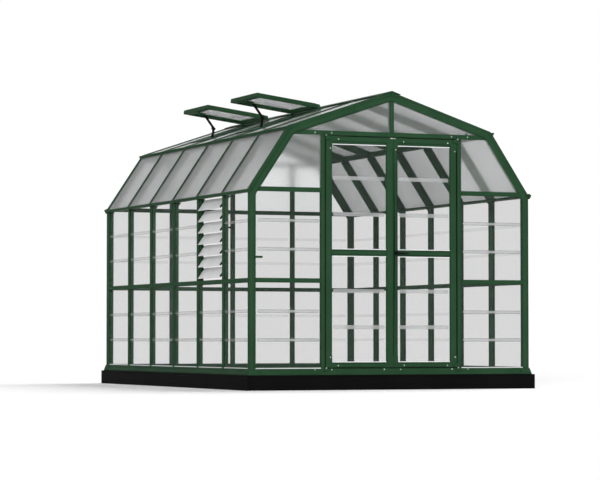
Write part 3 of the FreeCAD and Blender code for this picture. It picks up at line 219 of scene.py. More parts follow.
form = bmesh.new()
for low, high in boxes_of("base_rails"):
    axis, side = wall_side(low, high)
    section = (high[axis] - low[axis], high[2] - low[2])

    def to_plinth(out, rise, along, axis=axis, side=side, low=low, high=high):
        point = [0, 0, low[2] + rise]
        point[axis] = low[axis] + out if side > 0 else high[axis] - out
        point[1 - axis] = along
        return point

    ends = (low[1 - axis], high[1 - axis])
    inner = (ends[0] + PLINTH_WALL, ends[1] - PLINTH_WALL)
    run(form, plinth_outline(*section, False), to_plinth, ends[0], inner[0])
    run(form, plinth_outline(*section, True), to_plinth, *inner)
    run(form, plinth_outline(*section, False), to_plinth, inner[1], ends[1])
piece("plinth_lengths", form, [plinth_plastic], stands_for=["base_rails"], crease=30)

# Sill: green extruded rails on the plinth, with a skirt that flares out to shed water, and a moulded
# shoe over the joint at each corner. All are held down to the plinth by screws from inside.
SILL_EDGE = 0.005
SHOE_EDGE = 0.007
FLAT_ANGLE = math.radians(0.3)
SHARP_ANGLE = math.radians(35)
ROUNDED_CREASE = 50
FRAME_SHADE = (0.0242, 0.0650, 0.0312)
FRAME_OTHER_SHADE = (0.0200, 0.0560, 0.0264)


def rounded(
    name, node, material, edge, steps=3, body="frame", picks=None, stands_for=None, moved=tuple
):
    """A copy of a frame node, or of some of its solids, with every sharp edge rounded over."""
    form = bmesh.new()
    for index, solid in enumerate(solids_of(node)):
        if picks is not None and index not in picks:
            continue
        part, corners = bmesh.new(), {}
        for face in solid:
            for point in face:
                if point not in corners:
                    corners[point] = part.verts.new(moved(point))
            part.faces.new([corners[point] for point in face])
        bmesh.ops.dissolve_limit(part, angle_limit=FLAT_ANGLE, verts=part.verts, edges=part.edges)
        sharp = [e for e in part.edges if e.is_manifold and e.calc_face_angle(0) > SHARP_ANGLE]
        bmesh.ops.bevel(
            part, geom=sharp, offset=edge, offset_type="OFFSET", segments=steps, profile=0.5,
            affect="EDGES", clamp_overlap=True,
        )
        mesh = bpy.data.meshes.new("part")
        part.to_mesh(mesh)
        part.free()
        form.from_mesh(mesh)
        bpy.data.meshes.remove(mesh)
    replaced = [node] if stands_for is None else stands_for
    made = piece(name, form, [material], body, replaced, crease=ROUNDED_CREASE)
    made.modifiers.new("flat_faces_stay_flat", "WEIGHTED_NORMAL").keep_sharp = True
    return made


frame_green = finish(
    "frame_green", FRAME_SHADE, FRAME_OTHER_SHADE,
    drift=4.0, grain=650, gloss=(0.30, 0.38), bump=0.06,
    Specular_IOR_Level=0.005,
)
rounded("sill_lengths", "sill_rails", frame_green, SILL_EDGE)
rounded("sill_shoes", "sill_corners", frame_green, SHOE_EDGE, steps=4)

# Corner posts: square green tubes with well rounded edges, stood in the shoes and carrying the feet of
# the gable rafters. Their outer end faces lie back a little behind the round bead of the end frames.
POST_ROUND = 0.009
POST_SETBACK = 0.005


def moulding(form, low, high, outward, outline):
    """Runs an outline along a box: across from its middle line and outwards from its back face."""
    face, side = outward
    others = [axis for axis in range(3) if axis != face]
    length = max(others, key=lambda axis: high[axis] - low[axis])
    across_axis = sum(others) - length
    back = low[face] if side > 0 else high[face]
    middle = (low[across_axis] + high[across_axis]) / 2

    def to_point(across, rise, along):
        point = [0, 0, 0]
        point[face] = back + side * rise
        point[across_axis] = middle + across
        point[length] = along
        return point

    run(form, outline, to_point, low[length], high[length])


def soft_square(width, height, radius, steps=5):
    """A rectangle from its back to its face with rounded corners."""
    half = width / 2
    outline = []
    centres = ((half - radius, radius), (half - radius, height - radius))
    centres += ((radius - half, height - radius), (radius - half, radius))
    for quarter, (u, v) in enumerate(centres):
        for i in range(steps + 1):
            angle = math.pi / 2 * (quarter - 1 + i / steps)
            outline.append((u + radius * math.cos(angle), v + radius * math.sin(angle)))
    return outline


form = bmesh.new()
for low, high in boxes_of("corner_posts"):
    end_side = 1 if low[1] > 0 else -1
    size = high[0] - low[0]
    moulding(form, low, high, (1, end_side), soft_square(size, size - POST_SETBACK, POST_ROUND))
piece("corner_post_tubes", form, [frame_green], stands_for=["corner_posts"])

# Wall framing: posts and mid rails behind the panes, each with an arched cover strip outside that clamps
# the sheets, and a small bracket under the eave at each side post. Door posts are one full section.
STRIP_SHOULDER = 0.002
POST_EDGE = 0.003
RAIL_EDGE = 0.005
BRACKET_EDGE = 0.003
BRACKET_DROP = 0.030
BRACKET_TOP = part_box("post_capitals")[1][2]
DOOR_POST_ROUND = 0.013


def arched(width, height, shoulder, steps=10, fullness=0.6):
    """A strip's section: flat back, short square sides and an arched face; a lower fullness is squarer."""
    arch = []
    for i in range(steps + 1):
        angle = math.pi * i / steps
        rise = (height - shoulder) * math.sin(angle) ** fullness
        arch.append((width / 2 * math.cos(angle), shoulder + rise))
    return [(-width / 2, 0), (width / 2, 0)] + arch


def bracket_point(point):
    """Draws the foot of a bracket up, so that it is short under the eave."""
    return (point[0], point[1], max(point[2], BRACKET_TOP - BRACKET_DROP))


form = bmesh.new()
for low, high in boxes_of("wall_cover_strips"):
    outward = wall_side(low, high)
    thickness, width = sorted(high[axis] - low[axis] for axis in range(3))[:2]
    moulding(form, low, high, outward, arched(width, thickness, STRIP_SHOULDER))
piece("cover_strips", form, [frame_green], stands_for=["wall_cover_strips"])
form = bmesh.new()
for low, high in boxes_of("door_posts"):
    section = (high[0] - low[0], high[1] - low[1])
    moulding(form, low, high, (1, -1), soft_square(*section, DOOR_POST_ROUND))
piece("door_post_tubes", form, [frame_green], stands_for=["door_posts"])
rounded("wall_post_tubes", "wall_posts", frame_green, POST_EDGE)
rounded("post_brackets", "post_capitals", frame_green, BRACKET_EDGE, moved=bracket_point)
rounded("mid_rail_lengths", "mid_rails", frame_green, RAIL_EDGE)

# Eaves: rails across the end walls, bevelled purlins along the side walls, and a thin-walled gutter hung
# outside each purlin. All are green extrusions screwed to the post heads. Moulded stops fill the ends of
# the gutters.
GUTTER_EDGE = 0.001
PURLIN_EDGE = 0.003
STOP_DEPTH = 0.045
STOP_LAP = 0.002
STOP_ROUND = 0.0012
GUTTER_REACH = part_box("eave_gutters")[1][1]
GUTTER_SOLIDS = (0, 1)
STOP_SOLIDS = (2, 3, 4, 5)


def gutter_in_stops(point):
    """Ends a gutter a little inside its two end stops."""
    reach = GUTTER_REACH - STOP_DEPTH + STOP_LAP
    return (point[0], max(-reach, min(reach, point[1])), point[2])


def stop_in_gutter(point):
    """Carries the inner face of an end stop along the gutter."""
    if abs(point[1]) > GUTTER_REACH - STOP_LAP:
        return point
    return (point[0], math.copysign(GUTTER_REACH - STOP_DEPTH, point[1]), point[2])


rounded("eave_rail_lengths", "eave_rails", frame_green, RAIL_EDGE)
rounded("eave_purlin_lengths", "eave_purlins", frame_green, PURLIN_EDGE)
rounded(
    "gutters", "eave_gutters", frame_green, GUTTER_EDGE, steps=2, picks=GUTTER_SOLIDS,
    moved=gutter_in_stops,
)
rounded(
    "gutter_end_stops", "eave_gutters", frame_green, STOP_ROUND, steps=2,
    picks=STOP_SOLIDS, stands_for=[], moved=stop_in_gutter,
)

# End frames: a header under the knees of the roof with a small peg on it, a post above its middle, and flat
# gable rafters mitred at knee and ridge. One round bead runs up a corner post, over the roof and down.
HEADER_EDGE = 0.007
GABLE_POST_EDGE = 0.009
FLANGE_EDGE = 0.006
FLANGE_SETBACK = 0.016
BEAD_TUBE_HALF = 0.025
BEAD_TUBE_RISE = 0.024
BEAD_TUBE_BEND = 0.03
BEAD_TUBE_PROUD = 0.0035
PEG_LOW = (0.693, -1.929, 2.176)
PEG_HIGH = (0.707, -1.920, 2.197)
PEG_ROUND = 0.003
NEAR_MIDDLE = 0.001
GABLE_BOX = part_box("gable_rafters")


def soften(path, reach, steps=6):
    """Rounds the bends of a path, leaving its two ends."""
    soft = [path[0]]
    for before, bend, after in zip(path, path[1:], path[2:]):
        start = bend + (before - bend).normalized() * reach
        end = bend + (after - bend).normalized() * reach
        for i in range(steps + 1):
            share = i / steps
            soft.append(start * (1 - share) ** 2 + bend * 2 * share * (1 - share) + end * share**2)
    return soft + [path[-1]]


def sweep(form, path, outline, to_point):
    """Sweeps a section along a flat path, mitred at every bend."""
    rings = []
    for i, place in enumerate(path):
        before = (place - path[i - 1]).normalized() if i else (path[1] - place).normalized()
        after = (path[i + 1] - place).normalized() if i < len(path) - 1 else before
        onward = (before + after).normalized()
        aside = Vector((-onward.y, onward.x)) / onward.dot(before)
        rings.append([to_point(place + aside * across, rise) for across, rise in outline])
    skin(form, rings)


def flange_point(point):
    """Moves the outer face of a gable rafter back, so that the bead stands out from it."""
    reach = GABLE_BOX[1][1] - FLANGE_SETBACK
    return (point[0], max(-reach, min(reach, point[1])), point[2])


rounded("header_tubes", "knee_headers", frame_green, HEADER_EDGE)
rounded("gable_post_tubes", "gable_posts", frame_green, GABLE_POST_EDGE, steps=4)
form = bmesh.new()
peg_section = soft_square(PEG_HIGH[0] - PEG_LOW[0], PEG_HIGH[1] - PEG_LOW[1], PEG_ROUND)
moulding(form, PEG_LOW, PEG_HIGH, (1, -1), peg_section)
piece("header_peg", form, [frame_green])
rounded("gable_flanges", "gable_rafters", frame_green, FLANGE_EDGE, moved=flange_point)
rafter_points = [
    [Vector((x, z)) for face in solid for x, y, z in face]
    for solid in solids_of("gable_rafters")
    if min(point[0] for face in solid for point in face) > -NEAR_MIDDLE
]
upper_points = max(rafter_points, key=lambda points: max(p.y for p in points))
lower_points = min(rafter_points, key=lambda points: min(p.y for p in points))
knee = max(upper_points, key=lambda p: p.x)
knee_under = min(upper_points, key=lambda p: p.y)
middle_points = [p for p in upper_points if abs(p.x) < NEAR_MIDDLE]
ridge = max(middle_points, key=lambda p: p.y)
ridge_under = min(middle_points, key=lambda p: p.y)
eave = max(lower_points, key=lambda p: p.x)
slope = (eave - knee).normalized()
depth = abs((knee_under - knee).cross(slope))
share = 1 - BEAD_TUBE_HALF / depth
bead_knee = knee.lerp(knee_under, share)
bead_ridge = ridge.lerp(ridge_under, share)
post_low, post_high = max(boxes_of("corner_posts"), key=lambda box: box[0][0])
post_x = (post_low[0] + post_high[0]) / 2
bead_eave = bead_knee + slope * ((post_x - bead_knee.x) / slope.x)
half_path = [Vector((post_x, post_low[2])), bead_eave, bead_knee]
bead_path = half_path + [bead_ridge] + [Vector((-p.x, p.y)) for p in reversed(half_path)]
bead_path = soften(bead_path, BEAD_TUBE_BEND)
bead_section = arched(2 * BEAD_TUBE_HALF, BEAD_TUBE_RISE, BEAD_TUBE_RISE / 6, steps=14, fullness=1.0)
bead_back = GABLE_BOX[1][1] + BEAD_TUBE_PROUD - BEAD_TUBE_RISE
form = bmesh.new()
for end_side in (-1, 1):

    def to_end(place, rise, end_side=end_side):
        return (place.x, end_side * (bead_back + rise), place.y)

    sweep(form, bead_path, bead_section, to_end)
piece("end_frame_beads", form, [frame_green])

# Roof framing: flanged rafters under the sheets with thin caps over them, purlins at the knees, a drip trim
# along each knee, a ridge beam and a folded ridge cap. Caps and trims are screwed through to the rafters.
RAFTER_EDGE = 0.006
RAFTER_FLANGE = 0.013
RAFTER_MIDDLE = 0.038
CAP_EDGE = 0.003
TRIM_EDGE = 0.0018
TRIM_FULLNESS = 1.7
TRIM_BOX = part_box("knee_trims")
RIDGE_CAP_EDGE = 0.0012


def trim_point(point):
    """Thickens a knee trim inwards and downwards from its outer lip."""
    across = TRIM_BOX[1][0] - TRIM_FULLNESS * (TRIM_BOX[1][0] - abs(point[0]))
    rise = TRIM_BOX[1][2] - TRIM_FULLNESS * (TRIM_BOX[1][2] - point[2])
    return (math.copysign(across, point[0]), point[1], rise)


def flanged(along):
    """Gives the rafters of one slope an inner flange, by moving their inner faces in."""
    inward = Vector((along.y, -along.x))

    def rafter_point(point):
        place = Vector((abs(point[0]), point[2]))
        if (place - knee).dot(inward) > RAFTER_MIDDLE:
            place += inward * RAFTER_FLANGE
        return (math.copysign(place.x, point[0]), point[1], place.y)

    return rafter_point


rafter_boxes = boxes_of("roof_rafters")
for level, along in (("lower", slope), ("upper", (knee - ridge).normalized())):
    chosen = [i for i, (low, high) in enumerate(rafter_boxes) if (high[2] < knee.y) == (level == "lower")]
    rounded(
        f"{level}_rafters", "roof_rafters", frame_green, RAFTER_EDGE, picks=chosen,
        stands_for=["roof_rafters"] if level == "lower" else [], moved=flanged(along),
    )
rounded("rafter_cap_strips", "rafter_caps", frame_green, CAP_EDGE)
rounded("knee_purlin_lengths", "knee_purlins", frame_green, CAP_EDGE)
rounded("knee_drip_trims", "knee_trims", frame_green, TRIM_EDGE, moved=trim_point)
rounded("ridge_tube", "ridge_beam", frame_green, RAFTER_EDGE)
rounded("ridge_capping", "ridge_cap", frame_green, RIDGE_CAP_EDGE)

# Wall panes: clear plastic sheets slid in behind the cover strips. Each has two broad ribs pressed into
# it for stiffness, tapered at their ends. A pale band painted on each rib is a painted highlight, dark
# lines painted on its bends are painted shade, and a pale strip along its foot is a painted highlight
# of its cut edge.
SHEET = 0.006
RIB_STEPS = 8
RIB_CROWN = 0.010
RIB_TAPER = ((0, 0.05), (1 / 3, 0.55), (1, 1.0))
RIB_ARCH = 0.5
RIB_ROOT = 0.0005
FOOT_EDGE = 0.007
EDGE_PROUD = 0.0015
LEAF_RIB_FULLNESS = 1.25
TURN_BAND = (0.1, 0.6)
# Finishes of a sheet after the clear plastic: the rib's painted highlight, the painted shade on its bends,
# and the painted highlight of the cut edge.
RIB_HIGHLIGHT_FINISH, BEND_SHADE_FINISH, EDGE_HIGHLIGHT_FINISH = 1, 2, 3
LEVEL_DIGITS = 4
SAME_PLANE = 1e-5
clear_plastic = finish(
    "clear_plastic", (0.10, 0.105, 0.105), (0.08, 0.085, 0.085),
    drift=1.6, grain=90, gloss=(0.08, 0.14), bump=0.01,
    Alpha=0.104, Specular_IOR_Level=0.06, IOR=1.58,
)
# Painted highlight: an opaque pale strip on the clear sheet, for the light its cut edge catches.
pane_edge_painted_highlight = finish(
    "pane_edge_painted_highlight", (0.84, 0.85, 0.86), (0.76, 0.77, 0.78),
    drift=20, grain=300, gloss=(0.40, 0.50), bump=0.02,
    Specular_IOR_Level=0.1,
)
# Painted shade: dark grey on the bends of a rib, for the dark lines the bends of a clear rib show.
rib_bend_painted_shade = finish(
    "rib_bend_painted_shade", (0.13, 0.135, 0.135), (0.10, 0.105, 0.105),
    drift=6.0, grain=120, gloss=(0.25, 0.40), bump=0.02,
    Specular_IOR_Level=0.1,
)
# Painted highlight: a paler, denser grey on the face of a rib, for the light band a clear rib shows.
rib_painted_highlight = finish(
    "rib_painted_highlight", (0.43, 0.44, 0.44), (0.38, 0.39, 0.39),
    drift=6.0, grain=120, gloss=(0.25, 0.40), bump=0.02,
    Specular_IOR_Level=0.4,
)


def clear_when_turned(material, facing, aside, behind):
    """The painted band and bend shade of a rib show most seen squarely, and clear aslant or from behind."""
    nodes, links = material.node_tree.nodes, material.node_tree.links
    angle, place = nodes.new("ShaderNodeLayerWeight"), nodes.new("ShaderNodeNewGeometry")
    across, back, alpha = (nodes.new(f"ShaderNode{kind}") for kind in ("MapRange", "MapRange", "Math"))
    alpha.operation = "MULTIPLY"
    across.inputs["From Min"].default_value = TURN_BAND[0]
    across.inputs["From Max"].default_value = TURN_BAND[1]
    across.inputs["To Min"].default_value = facing
    across.inputs["To Max"].default_value = aside
    back.inputs["To Min"].default_value = 1.0
    back.inputs["To Max"].default_value = behind
    links.new(angle.outputs["Facing"], across.inputs["Value"])
    links.new(place.outputs["Backfacing"], back.inputs["Value"])
    links.new(across.outputs["Result"], alpha.inputs[0])
    links.new(back.outputs["Result"], alpha.inputs[1])
    links.new(alpha.outputs["Value"], nodes["Principled BSDF"].inputs["Alpha"])


clear_when_turned(rib_painted_highlight, facing=0.64, aside=0.30, behind=0.03)
clear_when_turned(rib_bend_painted_shade, facing=0.56, aside=0.44, behind=0.02)


def raised_faces(faces, count, back):
    """The faces of a skin without those along one side of its outline, which lie within the sheet."""
    return [f for i, f in enumerate(faces) if i < END_FACES or (i - END_FACES) % count != back]


def finished_with(index, faces):
    """Gives faces one of the finishes of their piece."""
    for face in faces:
        face.material_index = index


def rib(form, to_point, ends, middle, half, proud, bend):
    """A raised rib with an arched section, tapered at both ends and rooted a little in its sheet."""
    crown = min(RIB_CROWN, (ends[1] - ends[0]) / 4)
    stations = [(ends[0] + crown * part, share) for part, share in RIB_TAPER]
    stations += [(ends[0] + ends[1] - at, share) for at, share in reversed(stations)]
    rings = []
    for at, share in stations:
        ring = []
        for i in range(RIB_STEPS + 1):
            angle = math.pi * i / RIB_STEPS
            lift = proud * share * math.sin(angle) ** RIB_ARCH
            ring.append(to_point(at, middle - half * share * math.cos(angle), lift - RIB_ROOT))
        rings.append(ring)
    faces = skin(form, rings)
    # The raised faces take the painted highlight, and the faces on the bends the finish given by bend.
    finished_with(RIB_HIGHLIGHT_FINISH, raised_faces(faces, RIB_STEPS + 1, RIB_STEPS))
    bends = (0, 1, RIB_STEPS - 2, RIB_STEPS - 1)
    sides = faces[END_FACES:]
    finished_with(bend, [f for i, f in enumerate(sides) if i % (RIB_STEPS + 1) in bends])


def ribbed_sheets(name, node, body="frame", inset=None):
    """Flat sheets with their ribs, read from the solids of a node so that they lie where those are.

    A pale strip along the foot is painted highlight, for the light the cut edge catches. Where inset
    gives the widths of a bead, it shows within that bead, at the head too.
    """
    form = bmesh.new()
    for solid in solids_of(node):
        points = sorted({point for face in solid for point in face})
        low = [min(axis) for axis in zip(*points)]
        high = [max(axis) for axis in zip(*points)]
        axis, side = wall_side(low, high)
        outer = high[axis] if side > 0 else low[axis]
        back = low[axis] if side > 0 else high[axis]
        front = back + side * SHEET

        def to_point(along, rise, out, axis=axis, side=side, front=front):
            point = [0, 0, rise]
            point[axis] = front + side * out
            point[1 - axis] = along
            return point

        def upright(along, out, rise):
            return to_point(along, rise, out)

        span = (low[1 - axis], high[1 - axis])
        section = [(span[0], -SHEET), (span[1], -SHEET), (span[1], 0), (span[0], 0)]
        run(form, section, upright, low[2], high[2])
        raised = [point for point in points if abs(point[axis] - outer) < SAME_PLANE]
        levels = sorted({round(point[2], LEVEL_DIGITS) for point in raised})
        ends = (min(p[1 - axis] for p in raised), max(p[1 - axis] for p in raised))
        for below, middle, above in zip(levels[0::3], levels[1::3], levels[2::3]):
            half = (above - below) / 2 * (LEAF_RIB_FULLNESS if inset else 1)
            # On the leaves the bends keep the painted highlight; on the walls they take the painted shade.
            bend = RIB_HIGHLIGHT_FINISH if inset else BEND_SHADE_FINISH
            rib(form, to_point, ends, middle, half, abs(outer - front), bend)
        aside, under, over = inset(low, high) if inset else (0, 0, 0)
        left, right, foot, top = span[0] + aside, span[1] - aside, low[2] + under, high[2] - over
        # The pale strips are painted highlight of the cut edge: at the foot, and at the head within a bead.
        edges = [(left, right, foot, foot + FOOT_EDGE)]
        if inset:
            edges.append((left, right, top - FOOT_EDGE, top))
        for start, end, bottom, head in edges:
            strip = [(start, -RIB_ROOT), (end, -RIB_ROOT), (end, EDGE_PROUD), (start, EDGE_PROUD)]
            faces = run(form, strip, upright, bottom, head)
            finished_with(EDGE_HIGHLIGHT_FINISH, raised_faces(faces, len(strip), 0))
    finishes = [clear_plastic, rib_painted_highlight, rib_bend_painted_shade, pane_edge_painted_highlight]
    return piece(name, form, finishes, body, [node])


for wall in ("front", "back", "left", "right"):
    ribbed_sheets(f"{wall}_wall_sheets", f"{wall}_wall_panes")

# Frosted panes: sheets of light-spreading plastic over the roof, and lighter ones in the end frames under
# it. They are held like the wall panes, and the framing behind them shows through only softly.
FROSTED_EDGE = 0.001
frosted_plastic = finish(
    "frosted_plastic", (0.54, 0.55, 0.55), (0.48, 0.49, 0.49),
    drift=1.4, grain=700, gloss=(0.16, 0.22), bump=0.03,
    Transmission_Weight=0.86, Specular_IOR_Level=0.1, IOR=1.14,
)
light_frosted = finish(
    "light_frosted", (0.90, 0.91, 0.91), (0.86, 0.87, 0.87),
    drift=1.4, grain=700, gloss=(0.17, 0.21), bump=0.03,
    Transmission_Weight=0.92, Specular_IOR_Level=0.1, IOR=1.14,
)
rounded("gable_sheets", "gable_panes", light_frosted, FROSTED_EDGE, steps=1)
rounded("left_roof_sheets", "left_roof_panes", frosted_plastic, FROSTED_EDGE, steps=1)
rounded("right_roof_sheets", "right_roof_panes", frosted_plastic, FROSTED_EDGE, steps=1)

# Double door: two green leaf frames with ribbed clear panes, a glazing bead round each pane, and flat
# corner covers screwed over the joints. Each leaf hangs on eyes at its top and bottom hinge corner.
LEAF_EDGE = 0.010
COVER_EDGE = 0.001
BEAD_SIDE = 0.003
BEAD_FOOT = 0.008
BEAD_HEAD = 0.018
BEAD_RISE = 0.009
LEAF_COVERS = 4
LEAF_HEAD = max(high[2] for low, high in boxes_of("left_leaf_panes"))


def bead_widths(low, high):
    """The bead round a pane of a leaf: its width at the sides, the foot and the head."""
    return BEAD_SIDE, BEAD_FOOT, BEAD_HEAD if high[2] > LEAF_HEAD - BEAD_HEAD else BEAD_FOOT


def cover_face(side):
    """Where the front of a leaf's corner covers lies; they are the first solids of its fittings."""
    return min(low[1] for low, high in boxes_of(f"{side}_leaf_fittings")[:LEAF_COVERS])


for side in ("left", "right"):
    leaf = f"{side}_door"
    rounded(f"{side}_leaf_tubes", f"{side}_leaf_frame", frame_green, LEAF_EDGE, body=leaf)
    rounded(
        f"{side}_leaf_covers", f"{side}_leaf_fittings", frame_green, COVER_EDGE, body=leaf
    )
    ribbed_sheets(f"{side}_leaf_sheets", f"{side}_leaf_panes", leaf, bead_widths)
    form = bmesh.new()
    for low, high in boxes_of(f"{side}_leaf_panes"):
        front = high[1] - SHEET
        aside, under, over = bead_widths(low, high)
        start, end = low[0] + aside, high[0] - aside
        for x, end_x, z, end_z in (
            (low[0], start, low[2], high[2]),
            (end, high[0], low[2], high[2]),
            (start, end, low[2], low[2] + under),
            (start, end, high[2] - over, high[2]),
        ):
            bead = arched(min(end_x - x, end_z - z), BEAD_RISE, BEAD_RISE / 3, steps=6)
            moulding(form, (x, front, z), (end_x, front, end_z), (1, -1), bead)
    piece(f"{side}_leaf_beads", form, [frame_green], leaf)

# Door hardware: green lugs with zinc-plated pins on header and sill, a stop behind the heads of the
# leaves, black strips round the opening that paint the shade in the gaps there, a bright strike on each
# leaf, and a black lever handle.
DOOR_MIDDLE = 1.0
LUG_ROUND = 0.003
LUG_HEIGHT = 0.020
EYE_INSET = 0.009
PIN_RADIUS = 0.005
STOP_EDGE = 0.002
# Painted shade: sizes of the black strips set in the gaps round the leaves, where there is only shade.
SHADE_STRIP_BEHIND = 0.002
SHADE_STRIP_SHORT = 0.020
SHADE_STRIP_DROP = 0.014
SHADE_STRIP_THICKNESS = 0.005
JAMB_SHADE_STRIP_WIDTH = 0.0065
JAMB_SHADE_STRIP_DEPTH = 0.030
STRIKE_RISE = (2.128, 2.136)
STRIKE_THICKNESS = 0.002
STRIKES = {"left_door": (-0.015, 0.011), "right_door": (0.018, 0.030)}
LEVER_DEPTH = 0.012
LEVER_STATIONS = 12
LEVER_SIDES = 16
LEVER_END = 0.15
LEVER_END_POWER = 8
LEVER_TAPER = 0.35
LEVER_BOW = 0.1
LEVER_SQUARENESS = 0.7
LEVER_FILL = 0.9
SPINDLE_RADIUS = 0.007
zinc = finish(
    "zinc_plate", (0.62, 0.63, 0.64), (0.52, 0.53, 0.54),
    drift=30, grain=900, gloss=(0.26, 0.40), bump=0.03,
    Metallic=1.0,
)
black_plastic = finish(
    "black_plastic", (0.0055, 0.0055, 0.0060), (0.0040, 0.0040, 0.0045),
    drift=12, grain=700, gloss=(0.40, 0.52), bump=0.05,
    Specular_IOR_Level=0.04,
)


def turned(form, axis, centre, stations, count=24):
    """A round piece turned about an axis: stations give a place along it and a radius."""
    others = [a for a in range(3) if a != axis]
    rings = []
    for along, radius in stations:
        ring = []
        for k in range(count):
            angle = 2 * math.pi * k / count
            point = [0, 0, 0]
            point[axis] = along
            point[others[0]] = centre[0] + radius * math.cos(angle)
            point[others[1]] = centre[1] + radius * math.sin(angle)
            ring.append(point)
        rings.append(ring)
    skin(form, rings)


lugs, pins = bmesh.new(), bmesh.new()
for low, high in boxes_of("door_pivots"):
    at_head = low[2] > DOOR_MIDDLE
    lug_span = (high[2] - LUG_HEIGHT, high[2]) if at_head else (low[2], low[2] + LUG_HEIGHT)
    outline = soft_square(high[0] - low[0], high[1] - low[1], LUG_ROUND)

    def to_lug(across, rise, along, middle=(low[0] + high[0]) / 2, back=high[1]):
        return (middle + across, back - rise, along)

    run(lugs, outline, to_lug, *lug_span)
    hinge_side = -1 if low[0] < 0 else 1
    inner_edge = high[0] if hinge_side < 0 else low[0]
    eye = (inner_edge + hinge_side * EYE_INSET, low[1] + EYE_INSET)
    turned(pins, 2, eye, [(low[2], PIN_RADIUS), (high[2] - LUG_ROUND, PIN_RADIUS)])
piece("pivot_lugs", lugs, [frame_green], stands_for=["door_pivots"])
piece("pivot_pins", pins, [zinc])
rounded("meeting_stop", "door_stop", frame_green, STOP_EDGE)
# Painted shade: a black strip under the stop, behind the heads of the leaves, darkens the gap there.
low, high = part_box("door_stop")
shade_strip_y = (low[1] + SHADE_STRIP_BEHIND, low[1] + SHADE_STRIP_BEHIND + SHADE_STRIP_THICKNESS)
shade_strip_z = (high[2] - SHADE_STRIP_DROP, high[2])
shade_strip_outline = soft_square(SHADE_STRIP_DROP, SHADE_STRIP_THICKNESS, SHADE_STRIP_THICKNESS / 4, steps=3)
form = bmesh.new()
for start, end in (
    (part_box("left_leaf_frame")[0][0] + SHADE_STRIP_SHORT, low[0]),
    (high[0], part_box("right_leaf_frame")[1][0] - SHADE_STRIP_SHORT),
):
    moulding(form, (start, shade_strip_y[0], shade_strip_z[0]), (end, shade_strip_y[1], shade_strip_z[1]), (1, -1), shade_strip_outline)
piece("head_shade_strip", form, [black_plastic])
# Painted shade: black strips in the gaps beside the door posts and under the leaves.
leaf_low, leaf_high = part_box("left_leaf_frame")
jamb_outline = soft_square(JAMB_SHADE_STRIP_WIDTH, JAMB_SHADE_STRIP_DEPTH, JAMB_SHADE_STRIP_WIDTH / 4, steps=3)
shade_strip_back = leaf_high[1] - SHADE_STRIP_THICKNESS
form = bmesh.new()
for low, high in boxes_of("door_posts"):
    inner = high[0] if high[0] < 0 else low[0]
    start, end = sorted((inner, inner - math.copysign(JAMB_SHADE_STRIP_WIDTH, inner)))
    moulding(form, (start, shade_strip_back, leaf_low[2]), (end, shade_strip_back, leaf_high[2]), (1, -1), jamb_outline)
foot = min(low[2] for low, high in boxes_of("door_posts"))
foot_low = (leaf_low[0], shade_strip_back, foot)
foot_high = (-leaf_low[0], shade_strip_back, foot + JAMB_SHADE_STRIP_WIDTH)
moulding(form, foot_low, foot_high, (1, -1), jamb_outline)
piece("jamb_and_foot_shade_strips", form, [black_plastic])
rounded("handle_discs", "handle_roses", black_plastic, STOP_EDGE, body="right_door")
for leaf, (start, end) in STRIKES.items():
    side = leaf.split("_")[0]
    face_y = cover_face(side)
    strike = soft_square(STRIKE_RISE[1] - STRIKE_RISE[0], STRIKE_THICKNESS, STRIKE_THICKNESS / 3, steps=2)
    form = bmesh.new()
    moulding(form, (start, face_y, STRIKE_RISE[0]), (end, face_y, STRIKE_RISE[1]), (1, -1), strike)
    piece(f"{side}_strike", form, [zinc], leaf)


def squarer(wave):
    """Fills out a round section towards its corners."""
    return math.copysign(abs(wave) ** LEVER_SQUARENESS, wave)


def lever(form, low, high, facing):
    """A lever lofted from its round hub to a slimmer rounded tip, bowed a little off the door."""
    rings = []
    middle = ((low[1] + high[1]) / 2, (low[2] + high[2]) / 2)
    half = ((high[1] - low[1]) / 2, (high[2] - low[2]) / 2)
    for i in range(LEVER_STATIONS + 1):
        share = i / LEVER_STATIONS
        end = min(1.0, math.sqrt(max(0.0, 1 - (2 * share - 1) ** LEVER_END_POWER)) + LEVER_END)
        slim = 1 - LEVER_TAPER * share
        bow = facing * half[0] * LEVER_BOW * math.sin(math.pi * share)
        ring = []
        for k in range(LEVER_SIDES):
            angle = 2 * math.pi * k / LEVER_SIDES
            depth = squarer(math.cos(angle)) * half[0] * LEVER_FILL * end
            rise = squarer(math.sin(angle)) * half[1] * slim * end
            x = low[0] + (high[0] - low[0]) * share
            ring.append((x, middle[0] + depth + bow, middle[1] + rise))
        rings.append(ring)
    skin(form, rings)


low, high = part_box("door_handle")
spindle = (low[0] + (high[2] - low[2]) / 2, (low[2] + high[2]) / 2)
form = bmesh.new()
lever(form, low, (high[0], low[1] + LEVER_DEPTH, high[2]), -1)
lever(form, (low[0], high[1] - LEVER_DEPTH, low[2]), high, 1)
inside = (low[1] + LEVER_DEPTH / 2, high[1] - LEVER_DEPTH / 2)
turned(form, 1, spindle, [(inside[0], SPINDLE_RADIUS), (inside[1], SPINDLE_RADIUS)])
piece("lever_handle", form, [black_plastic], "handle", ["door_handle"], crease=60)

# Catch: a green moulded arm screwed to the front left corner post, with a black magnet let into its end.
# It holds the left leaf when that is opened right back.
CATCH_EDGE = 0.004
MAGNET_EDGE = 0.001
ARM_SOLID, MAGNET_SOLID = 0, 1
rounded("catch_arm", "door_catch", frame_green, CATCH_EDGE, picks=[ARM_SOLID])
rounded(
    "catch_magnet", "door_catch", black_plastic, MAGNET_EDGE, picks=[MAGNET_SOLID],
    stands_for=[],
)

